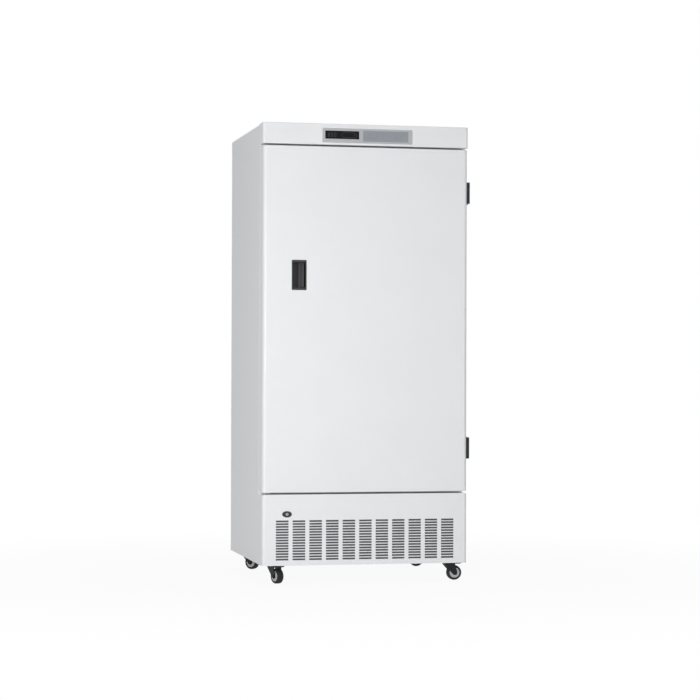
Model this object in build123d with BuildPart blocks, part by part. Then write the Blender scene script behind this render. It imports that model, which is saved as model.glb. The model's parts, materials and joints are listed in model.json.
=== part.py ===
"""Upright laboratory freezer on four swivel casters, modelled piece by piece.

Axes: +X runs to the right along the front, the front faces -Y and +Z is up.
The origin lies on the floor below the middle of the cabinet. All sizes are in millimetres.
"""

import os
from math import cos, radians, sin

from build123d import *

# Cabinet
cabinet_width = 700
cabinet_depth = 640
cabinet_height = 1530
floor_clearance = 62
sheet = 1
shell_corner = 6
flange_width = 38
flange_drop = 39
pan_rise = 10
pan_thick = 1.5
pan_lip = 24
divider_drop = 10

# Insulation, liner and the ring that closes the foam at the front
side_insulation = 82
rear_insulation = 80
floor_insulation = 80
cavity_drop = 68
liner_wall = 2
liner_corner = 20
breaker_thick = 3

# Door
door_thick = 58
door_seam = 6
door_corner = 12
door_edge = 3
door_sheet = 1
gasket_gap = 7
gasket_inset = 8
gasket_width = 18
gasket_foot = 2.2
gasket_neck = 1.4
gasket_corner = 10
door_liner_wall = 2
plinth_depth = 20
plinth_gap = 12
plinth_corner = 14
dike_width = 26
dike_depth = 7

# Door handle
handle_inset = 122
handle_rise = 721.5
handle_width = 50
handle_height = 100
handle_rim = 1.5
handle_corner = 3
pocket_side = 4
pocket_end = 8
pocket_depth = 30
pocket_wall = 2
grip_width = 20
grip_thick = 7
grip_groove = 11
grip_setback = 2
grip_side_gap = 3

# Hinges on the right-hand side
hinge_inset = 145
hinge_height = 72
hinge_leaf = 11
hinge_door_reach = 46
hinge_frame_reach = 40
hinge_swing_room = 7
knuckle_radius = 5.5
knuckle_offset = 2
hinge_pin_radius = 3
hinge_round = 2.5

# Header with the control panel
header_height = 70
header_overhang = 2
header_corner = 9
header_edge = 2.5
header_sheet = 1.2
panel_width = 308
panel_height = 48
panel_shift = 3.5
panel_rise = 31
panel_proud = 1.5
bezel_lip = 2.5
bezel_depth = 9
bezel_wall = 1.6
display_width = 116
display_height = 27
display_margin = 9
display_rise = 2
display_thick = 2
keypad_width = 156
keypad_height = 36
keypad_spacing = 13
keypad_thick = 1.2
key_count = 3
key_width = 22
key_height = 14
key_pitch = 44
key_proud = 0.4
key_travel = 0.6
board_thick = 1.6
post_radius = 2.5

# Lower front panel with the air grille and the keyed switch
lower_panel_height = 235
lower_corner = 10
lower_top_corner = 8
lower_lip = 12
panel_seam = 1.5
slot_width = 42.5
slot_height = 5.8
slot_pitch_x = 56.45
slot_pitch_z = 9
grille_margin = 40
grille_rise = 17
grille_height = 133
switch_inset = 83.5
switch_drop = 65
switch_width = 32.6
switch_height = 21
switch_proud = 3
switch_body_radius = 9
switch_body_length = 22
barrel_radius = 5
barrel_proud = 0.6
keyway_width = 1.6
keyway_length = 6
keyway_depth = 4

# Casters
caster_inset_side = 50
caster_inset_front = 55
caster_inset_rear = 70
caster_plate = 58
caster_plate_thick = 2.5
caster_plate_corner = 6
race_radius = 21
race_height = 3.3
head_radius = 19
kingpin_radius = 4
wheel_radius = 25
wheel_width = 22
tyre_chamfer = 2.5
hub_radius = 17
hub_recess = 3
hub_rim = 3.5
hub_boss = 7
axle_radius = 3
axle_head_radius = 5
axle_head = 2.5
trail = 20
fork_leg = 3
fork_side_gap = 1.5
fork_crown = 7
fork_boss = 8
pedal_radius = 3.5
pedal_pin_radius = 2
pedal_width = 20
pedal_length = 32
pedal_thick = 3
pedal_tip_rise = 3
front_left_angle = -67
front_right_angle = 0
rear_left_angle = -45
rear_right_angle = -30

# Shelves, evaporator and sensor
shelf_count = 4
shelf_thick = 1.2
shelf_flange = 16
shelf_side_gap = 1.5
shelf_front_gap = 30
shelf_rear_gap = 15
shelf_slot_width = 60
shelf_slot_depth = 12
shelf_slot_pitch_x = 80
shelf_slot_pitch_y = 34
ledge_reach = 14
ledge_height = 10
evaporator_margin = 26
evaporator_thick = 1.5
evaporator_standoff = 6
channel_width = 12
channel_height = 3
channel_pitch = 96
channel_bend = 30
channel_margin = 34
sensor_width = 18
sensor_height = 70
sensor_depth = 14
sensor_slots = 5

# Machine room
compressor_radius = 74
compressor_height = 178
compressor_inset_side = 135
compressor_inset_rear = 190
foot_radius = 9
foot_height = 12
foot_spacing = 150
condenser_width = 270
condenser_height = 186
condenser_depth = 52
condenser_inset = 245
condenser_setback = 36
fin_pitch = 9
fin_slot = 5
fin_groove = 6
bend_radius = 10
bend_tube = 4.5
condenser_passes = 4
fan_gap = 24
fan_radius = 76
fan_tip_gap = 5
fan_ring_depth = 26
fan_ring_wall = 2
fan_blades_count = 5
fan_hub_radius = 20
fan_hub_depth = 22
blade_root_chord = 24
blade_tip_chord = 44
blade_root_pitch = 42
blade_tip_pitch = 24
blade_thick = 2
motor_radius = 30
motor_length = 46
motor_shaft_radius = 3
motor_arm = 10
pipe_radius = 4
pipe_bend = 28
tray_width = 230
tray_depth = 190
tray_height = 30
tray_wall = 2
tray_inset_side = 160
tray_inset_rear = 130

# Back
vent_count = 9
vent_width = 150
vent_height = 5
vent_pitch = 14
vent_inset = 180
vent_spacing = 170
inlet_inset = 100
inlet_z = 165
inlet_flange_width = 50
inlet_flange_height = 28
inlet_flange_thick = 2.5
inlet_width = 27.2
inlet_height = 20
inlet_depth = 22
inlet_mouth_width = 24.6
inlet_mouth_height = 16.8
inlet_mouth_depth = 16
inlet_blade_width = 2
inlet_blade_height = 4
inlet_blade_pitch = 7
screw_radius = 4
screw_height = 2
screw_inset = 18
screw_rows = 4

# Clearances: between faces that pass each other, and between a pin and its bore
running_gap = 0.3
bore_gap = 0.1

# Places that follow from the sizes above
half_width = cabinet_width / 2
front_y = -cabinet_depth / 2
back_y = cabinet_depth / 2
back_inner_y = back_y - sheet
door_back_y = front_y + door_thick
frame_y = door_back_y + gasket_gap
foam_y = frame_y + breaker_thick
lower_panel_top = floor_clearance + lower_panel_height
door_bottom = lower_panel_top + door_seam
header_bottom = cabinet_height - header_height
door_top = header_bottom - door_seam
flange_z = door_top - flange_drop
pan_z = floor_clearance + pan_rise
room_floor_z = pan_z + pan_thick
divider_z = door_bottom - divider_drop
room_top_z = divider_z - pan_thick
liner_x = half_width - sheet - side_insulation
cavity_x = liner_x - liner_wall
cavity_bottom = divider_z + floor_insulation + liner_wall
cavity_top = door_top - cavity_drop
cavity_mid_z = (cavity_bottom + cavity_top) / 2
cavity_height = cavity_top - cavity_bottom
cavity_back_y = back_inner_y - rear_insulation - liner_wall
frame_x = half_width - flange_width
divider_top = door_bottom + flange_width
plinth_x = cavity_x - plinth_gap
plinth_bottom = cavity_bottom + plinth_gap
plinth_top = cavity_top - plinth_gap
plinth_y = door_back_y + plinth_depth
plinth_core_y = plinth_y - dike_depth - door_liner_wall


def facing(y):
    """Plane at depth y that faces the front: its x runs right and its y runs up."""
    return Plane.XZ.offset(-y)


def block(x0, x1, y0, y1, mode=Mode.ADD):
    """Rectangle between two corners of the sketch that is open."""
    with Locations(((x0 + x1) / 2, (y0 + y1) / 2)):
        return Rectangle(x1 - x0, y1 - y0, mode=mode)


# Outer shell: one sheet folded over both sides and the top, with a turned-in front flange
with BuildPart() as outer_shell:
    with BuildSketch(facing(frame_y)) as shell_face:
        block(-half_width, half_width, floor_clearance, cabinet_height)
        fillet(shell_face.vertices().group_by(Axis.Y)[-1], shell_corner)
    extrude(amount=-(back_inner_y - frame_y))
    with BuildSketch(facing(frame_y + sheet)) as shell_hollow:
        block(sheet - half_width, half_width - sheet, floor_clearance, cabinet_height - sheet)
        fillet(shell_hollow.vertices().group_by(Axis.Y)[-1], shell_corner - sheet)
    extrude(amount=-cabinet_depth, mode=Mode.SUBTRACT)
    with BuildSketch(facing(frame_y)):
        block(-frame_x, frame_x, room_top_z, flange_z)
        block(sheet - half_width, half_width - sheet, floor_clearance, room_top_z)
    extrude(amount=-sheet, mode=Mode.SUBTRACT)
outer_shell.part.label = "outer_shell"

# Foam body between the shell and the liner
with BuildPart() as cabinet_foam:
    with BuildSketch(facing(foam_y)) as foam_face:
        block(sheet - half_width, half_width - sheet, divider_z, cabinet_height - sheet)
        fillet(foam_face.vertices().group_by(Axis.Y)[-1], shell_corner - sheet)
    extrude(amount=-(back_inner_y - foam_y))
    with BuildSketch(facing(foam_y)) as foam_hollow:
        block(-liner_x, liner_x, cavity_bottom - liner_wall, cavity_top + liner_wall)
        fillet(foam_hollow.vertices(), liner_corner + liner_wall)
    extrude(amount=-(cavity_back_y + liner_wall - foam_y), mode=Mode.SUBTRACT)
cabinet_foam.part.label = "cabinet_foam"

# Inner liner: a formed tub with rounded corners and a pair of ledges for each shelf
shelf_pitch = cavity_height / (shelf_count + 1)
shelf_levels = [cavity_bottom + shelf_pitch * (i + 1) for i in range(shelf_count)]
shelf_front_y = frame_y + shelf_front_gap
shelf_back_y = cavity_back_y - shelf_rear_gap
with BuildPart() as inner_liner:
    with BuildSketch(facing(foam_y)) as liner_outside:
        block(-liner_x, liner_x, cavity_bottom - liner_wall, cavity_top + liner_wall)
        fillet(liner_outside.vertices(), liner_corner + liner_wall)
    extrude(amount=-(cavity_back_y + liner_wall - foam_y))
    with BuildSketch(facing(foam_y)) as liner_inside:
        block(-cavity_x, cavity_x, cavity_bottom, cavity_top)
        fillet(liner_inside.vertices(), liner_corner)
    extrude(amount=-(cavity_back_y - foam_y), mode=Mode.SUBTRACT)
    for level in shelf_levels:
        with BuildSketch(facing(shelf_front_y)):
            block(-cavity_x, ledge_reach - cavity_x, level - ledge_height, level)
            block(cavity_x - ledge_reach, cavity_x, level - ledge_height, level)
        extrude(amount=-(shelf_back_y - shelf_front_y))
inner_liner.part.label = "inner_liner"

# Breaker strip: plastic ring that closes the foam between the steel frame and the liner
with BuildPart() as breaker_strip:
    with BuildSketch(facing(frame_y)) as breaker_face:
        block(-frame_x, frame_x, divider_top, flange_z)
        block(-cavity_x, cavity_x, cavity_bottom, cavity_top, mode=Mode.SUBTRACT)
        fillet(breaker_face.vertices().filter_by_position(Axis.X, -cavity_x, cavity_x), liner_corner)
    extrude(amount=-breaker_thick)
breaker_strip.part.label = "breaker_strip"

# Divider panel: ceiling of the machine room, turned up in front to carry the gasket
with BuildPart() as divider_panel:
    with BuildSketch(Plane.XY.offset(room_top_z)):
        block(sheet - half_width, half_width - sheet, frame_y + sheet, back_inner_y)
    extrude(amount=pan_thick)
    with BuildSketch(facing(frame_y)):
        block(-frame_x, frame_x, room_top_z, divider_top)
    extrude(amount=-breaker_thick)
    with BuildSketch(facing(frame_y + sheet)):
        block(sheet - half_width, half_width - sheet, room_top_z, divider_z)
    extrude(amount=-breaker_thick)
divider_panel.part.label = "divider_panel"

# Back panel behind the foam
with BuildPart() as back_panel:
    with BuildSketch(facing(back_inner_y)) as back_face:
        block(-half_width, half_width, divider_z, cabinet_height)
        fillet(back_face.vertices().group_by(Axis.Y)[-1], shell_corner)
    extrude(amount=-sheet)
back_panel.part.label = "back_panel"

# Rear cover of the machine room with vent slots and the cut-out for the inlet
vent_x = half_width - vent_inset
vent_mid_z = (floor_clearance + room_top_z) / 2
inlet_x = inlet_inset - half_width
with BuildPart() as rear_cover:
    with BuildSketch(facing(back_inner_y)):
        block(-half_width, half_width, floor_clearance, divider_z)
        with Locations((vent_x, vent_mid_z), (vent_x - vent_spacing, vent_mid_z)):
            with GridLocations(0, vent_pitch, 1, vent_count):
                Rectangle(vent_width, vent_height, mode=Mode.SUBTRACT)
        with Locations((inlet_x, inlet_z)):
            Rectangle(inlet_width, inlet_height, mode=Mode.SUBTRACT)
    extrude(amount=-sheet)
rear_cover.part.label = "rear_cover"

# Base pan: floor of the machine room, which carries the casters
pan_x = half_width - sheet
pan_front_y = front_y + sheet
with BuildPart() as base_pan:
    with BuildSketch(Plane.XY.offset(pan_z)) as pan_plan:
        block(-pan_x, pan_x, pan_front_y, back_inner_y)
        fillet(pan_plan.vertices().group_by(Axis.Y)[0], lower_corner)
    extrude(amount=pan_thick)
    with BuildSketch(Plane.XY.offset(room_floor_z)):
        block(-pan_x, pan_thick - pan_x, frame_y + sheet, back_inner_y)
        block(pan_x - pan_thick, pan_x, frame_y + sheet, back_inner_y)
    extrude(amount=pan_lip)
base_pan.part.label = "base_pan"

# Header: folded cover above the door, open at the back, with the panel cut-out
panel_z = header_bottom + panel_rise
header_x = half_width + header_overhang
header_back_y = frame_y
with BuildPart() as header_cover:
    with BuildSketch(Plane.XY.offset(header_bottom)) as header_plan:
        block(-header_x, header_x, front_y, header_back_y)
        fillet(header_plan.vertices().group_by(Axis.Y)[0], header_corner)
    extrude(amount=header_height)
    fillet(header_cover.edges().group_by(Axis.Z)[-1].group_by(Axis.Y)[0], header_edge)
    offset(amount=-header_sheet, openings=header_cover.faces().sort_by(Axis.Y)[-1])
    with BuildSketch(facing(front_y)):
        with Locations((panel_shift, panel_z)):
            Rectangle(panel_width - 2 * bezel_lip, panel_height - 2 * bezel_lip)
    extrude(amount=-2 * header_sheet, mode=Mode.SUBTRACT)
header_cover.part.label = "header_cover"

# Bezel of the control panel: a proud frame, a tub through the header and four posts for the board
display_x = panel_shift - panel_width / 2 + display_margin + display_width / 2
display_z = panel_z + display_rise
keypad_x = display_x + display_width / 2 + keypad_spacing + keypad_width / 2
bezel_y = front_y - panel_proud
bezel_back_y = front_y + bezel_depth
bezel_floor_y = bezel_y + display_thick
tub_width = panel_width - 2 * bezel_lip - 2 * running_gap
tub_height = panel_height - 2 * bezel_lip - 2 * running_gap
post_x = tub_width / 2 - bezel_wall - post_radius / 2
post_z = tub_height / 2 - bezel_wall - post_radius / 2
with BuildPart() as panel_bezel:
    with BuildSketch(facing(front_y)):
        with Locations((panel_shift, panel_z)):
            RectangleRounded(panel_width, panel_height, bezel_lip)
    extrude(amount=panel_proud)
    fillet(panel_bezel.edges().group_by(Axis.Y)[0], panel_proud / 2)
    with BuildSketch(facing(front_y)):
        with Locations((panel_shift, panel_z)):
            Rectangle(tub_width, tub_height)
    extrude(amount=-bezel_depth)
    with BuildSketch(facing(bezel_floor_y + bezel_wall)):
        with Locations((panel_shift, panel_z)):
            Rectangle(tub_width - 2 * bezel_wall, tub_height - 2 * bezel_wall)
    extrude(amount=-bezel_depth, mode=Mode.SUBTRACT)
    with BuildSketch(facing(bezel_y)):
        with Locations((display_x, display_z)):
            Rectangle(display_width, display_height)
    extrude(amount=-display_thick, mode=Mode.SUBTRACT)
    with BuildSketch(facing(bezel_y)):
        with Locations((keypad_x, panel_z)):
            Rectangle(keypad_width, keypad_height)
    extrude(amount=-(keypad_thick + key_proud), mode=Mode.SUBTRACT)
    with BuildSketch(facing(bezel_y)):
        with Locations((keypad_x, panel_z)):
            with GridLocations(key_pitch, 0, key_count, 1):
                Rectangle(key_width + 2 * running_gap, key_height + 2 * running_gap)
    extrude(amount=-bezel_depth, mode=Mode.SUBTRACT)
    with BuildSketch(facing(bezel_floor_y)):
        with Locations((panel_shift, panel_z)):
            with GridLocations(2 * post_x, 2 * post_z, 2, 2):
                Circle(post_radius)
    extrude(amount=-(bezel_back_y - bezel_floor_y))
panel_bezel.part.label = "panel_bezel"

# Dark window over the digits
with BuildPart() as display_window:
    with BuildSketch(facing(bezel_floor_y)):
        with Locations((display_x, display_z)):
            Rectangle(display_width, display_height)
    extrude(amount=display_thick - key_proud)
display_window.part.label = "display_window"

# Keypad foil with one opening for each key
keypad_y = bezel_y + key_proud
with BuildPart() as keypad_sheet:
    with BuildSketch(facing(keypad_y)):
        with Locations((keypad_x, panel_z)):
            Rectangle(keypad_width, keypad_height)
            with GridLocations(key_pitch, 0, key_count, 1):
                Rectangle(key_width + 2 * running_gap, key_height + 2 * running_gap, mode=Mode.SUBTRACT)
    extrude(amount=-keypad_thick)
keypad_sheet.part.label = "keypad_sheet"

# Circuit board on the bezel's posts, with a switch body behind each key
key_front_y = keypad_y - key_proud
key_back_y = bezel_floor_y + bezel_wall
switch_front_y = key_back_y + key_travel + running_gap
with BuildPart() as control_board:
    with BuildSketch(facing(bezel_back_y)):
        with Locations((panel_shift, panel_z)):
            Rectangle(tub_width, tub_height)
    extrude(amount=-board_thick)
    with BuildSketch(facing(switch_front_y)):
        with Locations((keypad_x, panel_z)):
            with GridLocations(key_pitch, 0, key_count, 1):
                Rectangle(key_height / 2, key_height / 2)
        with Locations((display_x, display_z)):
            Rectangle(display_width / 2, display_height / 2)
    extrude(amount=-(bezel_back_y - switch_front_y))
control_board.part.label = "control_board"


def panel_key(index):
    """One membrane key, with its cap just proud of the foil."""
    x = keypad_x + key_pitch * (index - (key_count - 1) / 2)
    with BuildPart() as key:
        with BuildSketch(facing(key_front_y)):
            with Locations((x, panel_z)):
                Rectangle(key_width, key_height)
        extrude(amount=-(key_back_y - key_front_y))
        fillet(key.edges().group_by(Axis.Y)[0], key_proud / 2)
    key.part.label = f"panel_key_{index + 1}"
    return key


panel_keys = [panel_key(index) for index in range(key_count)]

# Lower front panel: folded sheet with rounded edges, pierced by columns of short slots
grille_columns = int((cabinet_width - 2 * grille_margin - slot_width) / slot_pitch_x) + 1
grille_rows = int((grille_height - slot_height) / slot_pitch_z) + 1
grille_z = floor_clearance + grille_rise + grille_height / 2
lower_back_y = frame_y - panel_seam
switch_x = switch_inset - half_width
switch_z = lower_panel_top - switch_drop
with BuildPart() as grille_panel:
    with BuildSketch(Plane.XY.offset(floor_clearance)) as lower_plan:
        block(-half_width, half_width, front_y, lower_back_y)
        fillet(lower_plan.vertices().group_by(Axis.Y)[0], lower_corner)
    extrude(amount=lower_panel_height)
    with BuildSketch(facing(lower_back_y)) as lower_face:
        block(-half_width, half_width, floor_clearance, lower_panel_top)
        fillet(lower_face.vertices().group_by(Axis.Y)[-1], lower_top_corner)
    extrude(amount=lower_back_y - front_y, mode=Mode.INTERSECT)
    offset(amount=-sheet, openings=grille_panel.faces().filter_by(Axis.Y).sort_by(Axis.Y)[-1])
    with BuildSketch(Plane.XY.offset(floor_clearance)):
        block(lower_lip - half_width, half_width - lower_lip, front_y + lower_lip, lower_back_y)
    extrude(amount=sheet, mode=Mode.SUBTRACT)
    with BuildSketch(facing(front_y)):
        with Locations((0, grille_z)):
            with GridLocations(slot_pitch_x, slot_pitch_z, grille_columns, grille_rows):
                Rectangle(slot_width, slot_height)
        with Locations((switch_x, switch_z)):
            Circle(switch_body_radius + running_gap)
    extrude(amount=-2 * sheet, mode=Mode.SUBTRACT)
grille_panel.part.label = "grille_panel"

# Keyed switch: oval escutcheon with a threaded body behind the panel
with BuildPart() as switch_body:
    with BuildSketch(facing(front_y)):
        with Locations((switch_x, switch_z)):
            Ellipse(switch_width / 2, switch_height / 2)
    extrude(amount=switch_proud)
    chamfer(switch_body.edges().group_by(Axis.Y)[0], switch_proud / 2)
    with BuildSketch(facing(front_y)):
        with Locations((switch_x, switch_z)):
            Circle(switch_body_radius)
    extrude(amount=-switch_body_length)
    with BuildSketch(facing(front_y - switch_proud)):
        with Locations((switch_x, switch_z)):
            Circle(barrel_radius + bore_gap)
    extrude(amount=-(switch_body_length + switch_proud - sheet), mode=Mode.SUBTRACT)
switch_body.part.label = "switch_body"

# Turning key barrel with its keyway
barrel_y = front_y - switch_proud - barrel_proud
with BuildPart() as key_barrel:
    with BuildSketch(facing(barrel_y)):
        with Locations((switch_x, switch_z)):
            Circle(barrel_radius)
    extrude(amount=-(switch_body_length + switch_proud + barrel_proud - sheet - running_gap))
    chamfer(key_barrel.edges().group_by(Axis.Y)[0], barrel_proud / 2)
    with BuildSketch(facing(barrel_y)):
        with Locations((switch_x, switch_z)):
            Rectangle(keyway_width, keyway_length)
    extrude(amount=-keyway_depth, mode=Mode.SUBTRACT)
key_barrel.part.label = "key_barrel"

# Door skin: steel pan with large rounded uprights, open at the back
handle_x = handle_inset - half_width
handle_z = door_bottom + handle_rise
pocket_width = handle_width - 2 * pocket_side
pocket_height = handle_height - 2 * pocket_end
pocket_back_y = front_y + pocket_depth
door_liner_y = door_back_y - door_liner_wall
with BuildPart() as door_skin:
    with BuildSketch(Plane.XY.offset(door_bottom)) as door_plan:
        block(-half_width, half_width, front_y, door_back_y)
        fillet(door_plan.vertices().group_by(Axis.Y)[0], door_corner)
    extrude(amount=door_top - door_bottom)
    fillet(door_skin.edges().group_by(Axis.Z)[-1].group_by(Axis.Y)[0], door_edge)
    fillet(door_skin.edges().group_by(Axis.Z)[0].group_by(Axis.Y)[0], door_edge)
    offset(amount=-door_sheet, openings=door_skin.faces().sort_by(Axis.Y)[-1])
    with BuildSketch(facing(front_y)):
        with Locations((handle_x, handle_z)):
            Rectangle(pocket_width + 2 * pocket_wall, pocket_height + 2 * pocket_wall)
    extrude(amount=-2 * door_sheet, mode=Mode.SUBTRACT)
door_skin.part.label = "door_skin"



def plinth_block(inset):
    """Rectangle of the door's plinth in the sketch that is open, inset from its outline."""
    block(inset - plinth_x, plinth_x - inset, plinth_bottom + inset, plinth_top - inset)


# Foam core of the door, with the plinth that reaches into the cabinet
with BuildPart() as door_foam:
    with BuildSketch(Plane.XY.offset(door_bottom + door_sheet)) as core_plan:
        block(door_sheet - half_width, half_width - door_sheet, front_y + door_sheet, door_liner_y)
        fillet(core_plan.vertices().group_by(Axis.Y)[0], door_corner - door_sheet)
    extrude(amount=door_top - door_bottom - 2 * door_sheet)
    fillet(door_foam.edges().group_by(Axis.Z)[-1].group_by(Axis.Y)[0], door_edge - door_sheet)
    fillet(door_foam.edges().group_by(Axis.Z)[0].group_by(Axis.Y)[0], door_edge - door_sheet)
    with BuildSketch(facing(front_y + door_sheet)):
        with Locations((handle_x, handle_z)):
            Rectangle(pocket_width + 2 * pocket_wall, pocket_height + 2 * pocket_wall)
    extrude(amount=-(pocket_depth + pocket_wall - door_sheet), mode=Mode.SUBTRACT)
    with BuildSketch(facing(door_liner_y)) as plinth_core:
        plinth_block(door_liner_wall)
        fillet(plinth_core.vertices(), plinth_corner - door_liner_wall)
    extrude(amount=-(plinth_core_y - door_liner_y))
door_foam.part.label = "door_foam"

# Inner door liner: formed sheet with a plinth and a raised dike around its rim
door_inner_x = half_width - door_sheet
with BuildPart() as door_liner:
    with BuildSketch(facing(door_liner_y)) as liner_rim:
        block(-door_inner_x, door_inner_x, door_bottom + door_sheet, door_top - door_sheet)
        fillet(liner_rim.vertices(), door_edge - door_sheet)
    extrude(amount=-door_liner_wall)
    with BuildSketch(facing(door_back_y)) as plinth_face:
        plinth_block(0)
        fillet(plinth_face.vertices(), plinth_corner)
    extrude(amount=-plinth_depth)
    with BuildSketch(facing(plinth_y)) as plinth_dish:
        plinth_block(dike_width)
        fillet(plinth_dish.vertices(), plinth_corner)
    extrude(amount=dike_depth, mode=Mode.SUBTRACT)
    fillet(door_liner.edges().group_by(Axis.Y)[-1], door_liner_wall)
    with BuildSketch(facing(door_liner_y)) as plinth_hollow:
        plinth_block(door_liner_wall)
        fillet(plinth_hollow.vertices(), plinth_corner - door_liner_wall)
    extrude(amount=-(plinth_core_y - door_liner_y), mode=Mode.SUBTRACT)
door_liner.part.label = "door_liner"

# Door gasket: foot on the liner, waist, and the magnetic bulb that meets the frame
gasket_x = half_width - gasket_inset
gasket_low = door_bottom + gasket_inset
gasket_high = door_top - gasket_inset
gasket_bulb_y = door_back_y + gasket_foot + gasket_neck
gasket_waist = gasket_width / 4


def gasket_ring(inset, width):
    """Rounded ring in the sketch that is open, inset from the gasket's outer edge."""
    block(inset - gasket_x, gasket_x - inset, gasket_low + inset, gasket_high - inset)
    edge = inset + width
    block(edge - gasket_x, gasket_x - edge, gasket_low + edge, gasket_high - edge, mode=Mode.SUBTRACT)


with BuildPart() as door_gasket:
    with BuildSketch(facing(door_back_y)) as gasket_foot_face:
        gasket_ring(0, gasket_width)
        fillet(gasket_foot_face.vertices(), gasket_corner)
    extrude(amount=-gasket_foot)
    with BuildSketch(facing(door_back_y + gasket_foot)) as gasket_neck_face:
        gasket_ring(gasket_waist, gasket_width - 2 * gasket_waist)
        fillet(gasket_neck_face.vertices(), gasket_corner)
    extrude(amount=-gasket_neck)
    with BuildSketch(facing(gasket_bulb_y)) as gasket_bulb_face:
        gasket_ring(gasket_neck, gasket_width - 2 * gasket_neck)
        fillet(gasket_bulb_face.vertices(), gasket_corner)
    extrude(amount=-(frame_y - running_gap - gasket_bulb_y))
door_gasket.part.label = "door_gasket"

# Handle pocket: rim on the skin and a tub sunk into the foam
with BuildPart() as handle_pocket:
    with BuildSketch(facing(front_y)):
        with Locations((handle_x, handle_z)):
            RectangleRounded(handle_width, handle_height, handle_corner)
    extrude(amount=handle_rim)
    fillet(handle_pocket.edges().group_by(Axis.Y)[0], handle_rim / 2)
    with BuildSketch(facing(front_y)):
        with Locations((handle_x, handle_z)):
            Rectangle(pocket_width + 2 * pocket_wall, pocket_height + 2 * pocket_wall)
    extrude(amount=-(pocket_depth + pocket_wall))
    with BuildSketch(facing(front_y - handle_rim)):
        with Locations((handle_x, handle_z)):
            RectangleRounded(pocket_width, pocket_height, handle_corner)
    extrude(amount=-(pocket_depth + handle_rim), mode=Mode.SUBTRACT)
    fillet(handle_pocket.edges().filter_by_position(Axis.Y, pocket_back_y, pocket_back_y), handle_corner / 2)
handle_pocket.part.label = "handle_pocket"

# Grip: upright bar with a hollowed face, which bridges the pocket and leaves room for fingers behind
grip_front_y = front_y + grip_setback
grip_x = handle_x + pocket_width / 2 - grip_side_gap - grip_width / 2
grip_lip = (grip_width - grip_groove) / 2
grip_sink = grip_thick / 3
with BuildPart() as handle_grip:
    with BuildSketch(Plane.XY.offset(handle_z - pocket_height / 2)) as grip_plan:
        with BuildLine():
            left, right = grip_x - grip_width / 2, grip_x + grip_width / 2
            rear_y = grip_front_y + grip_thick
            Line((left, rear_y), (left, grip_front_y))
            Line((left, grip_front_y), (left + grip_lip, grip_front_y))
            ThreePointArc(
                (left + grip_lip, grip_front_y),
                (grip_x, grip_front_y + grip_sink),
                (right - grip_lip, grip_front_y),
            )
            Line((right - grip_lip, grip_front_y), (right, grip_front_y))
            Line((right, grip_front_y), (right, rear_y))
            Line((right, rear_y), (left, rear_y))
        make_face()
        fillet(grip_plan.vertices().group_by(Axis.X)[0], grip_lip / 3)
    extrude(amount=pocket_height)
handle_grip.part.label = "handle_grip"

# Hinges: each has a leaf on the door and a leaf with the pin on the cabinet's side
leaf_x = half_width + hinge_leaf
hinge_axis_x = leaf_x + knuckle_offset
hinge_axis_y = door_back_y + gasket_gap / 2
leaf_end = hinge_axis_y - hinge_swing_room
leaf_start = hinge_axis_y + hinge_swing_room
knuckle_length = hinge_height / 3


def door_hinge_leaf(name, middle_z):
    """Leaf that is screwed to the door's edge, with the middle knuckle."""
    low = middle_z - hinge_height / 2
    with BuildPart() as leaf:
        with BuildSketch(Plane.XY.offset(low)):
            block(half_width, leaf_x, leaf_end - hinge_door_reach, leaf_end)
        extrude(amount=hinge_height)
        fillet(leaf.faces().sort_by(Axis.X)[-1].edges(), hinge_round)
        with BuildSketch(Plane.XY.offset(low + knuckle_length + running_gap)) as door_knuckle:
            with BuildSketch(mode=Mode.PRIVATE) as outline:
                with Locations((hinge_axis_x, hinge_axis_y)):
                    Circle(knuckle_radius)
                block(half_width + hinge_round, leaf_x, leaf_end - hinge_round, leaf_end)
            make_hull(outline.edges())
            with Locations((hinge_axis_x, hinge_axis_y)):
                Circle(hinge_pin_radius + bore_gap, mode=Mode.SUBTRACT)
        extrude(amount=knuckle_length - 2 * running_gap)
    leaf.part.label = name
    return leaf


def frame_hinge_leaf(name, middle_z):
    """Leaf on the cabinet's side, with two knuckles and the pin that is pressed into them."""
    low = middle_z - hinge_height / 2
    with BuildPart() as leaf:
        with BuildSketch(Plane.XY.offset(low)):
            block(half_width, leaf_x, leaf_start, leaf_start + hinge_frame_reach)
        extrude(amount=hinge_height)
        fillet(leaf.faces().sort_by(Axis.X)[-1].edges(), hinge_round)
        for bottom in (low, low + 2 * knuckle_length):
            with BuildSketch(Plane.XY.offset(bottom)) as frame_knuckle:
                with BuildSketch(mode=Mode.PRIVATE) as outline:
                    with Locations((hinge_axis_x, hinge_axis_y)):
                        Circle(knuckle_radius)
                    block(half_width + hinge_round, leaf_x, leaf_start, leaf_start + hinge_round)
                make_hull(outline.edges())
            extrude(amount=knuckle_length)
        with BuildSketch(Plane.XY.offset(low)):
            with Locations((hinge_axis_x, hinge_axis_y)):
                Circle(hinge_pin_radius)
        extrude(amount=hinge_height)
    leaf.part.label = name
    return leaf


hinges = [
    door_hinge_leaf("hinge_upper_door", door_top - hinge_inset),
    door_hinge_leaf("hinge_lower_door", door_bottom + hinge_inset),
    frame_hinge_leaf("hinge_upper_frame", door_top - hinge_inset),
    frame_hinge_leaf("hinge_lower_frame", door_bottom + hinge_inset),
]

# Caster places, in the order front left, front right, rear left, rear right
caster_x = half_width - caster_inset_side
caster_front_y = front_y + caster_inset_front
caster_rear_y = back_y - caster_inset_rear
plate_z = pan_z - caster_plate_thick
race_z = plate_z - race_height
head_top = race_z - running_gap
crown_top = floor_clearance - 2
crown_z = crown_top - fork_crown
kingpin_top = pan_z - running_gap
pedal_x = trail - kingpin_radius
pedal_z = crown_top - pedal_radius - running_gap
leg_inner = wheel_width / 2 + fork_side_gap
leg_outer = leg_inner + fork_leg

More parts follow.
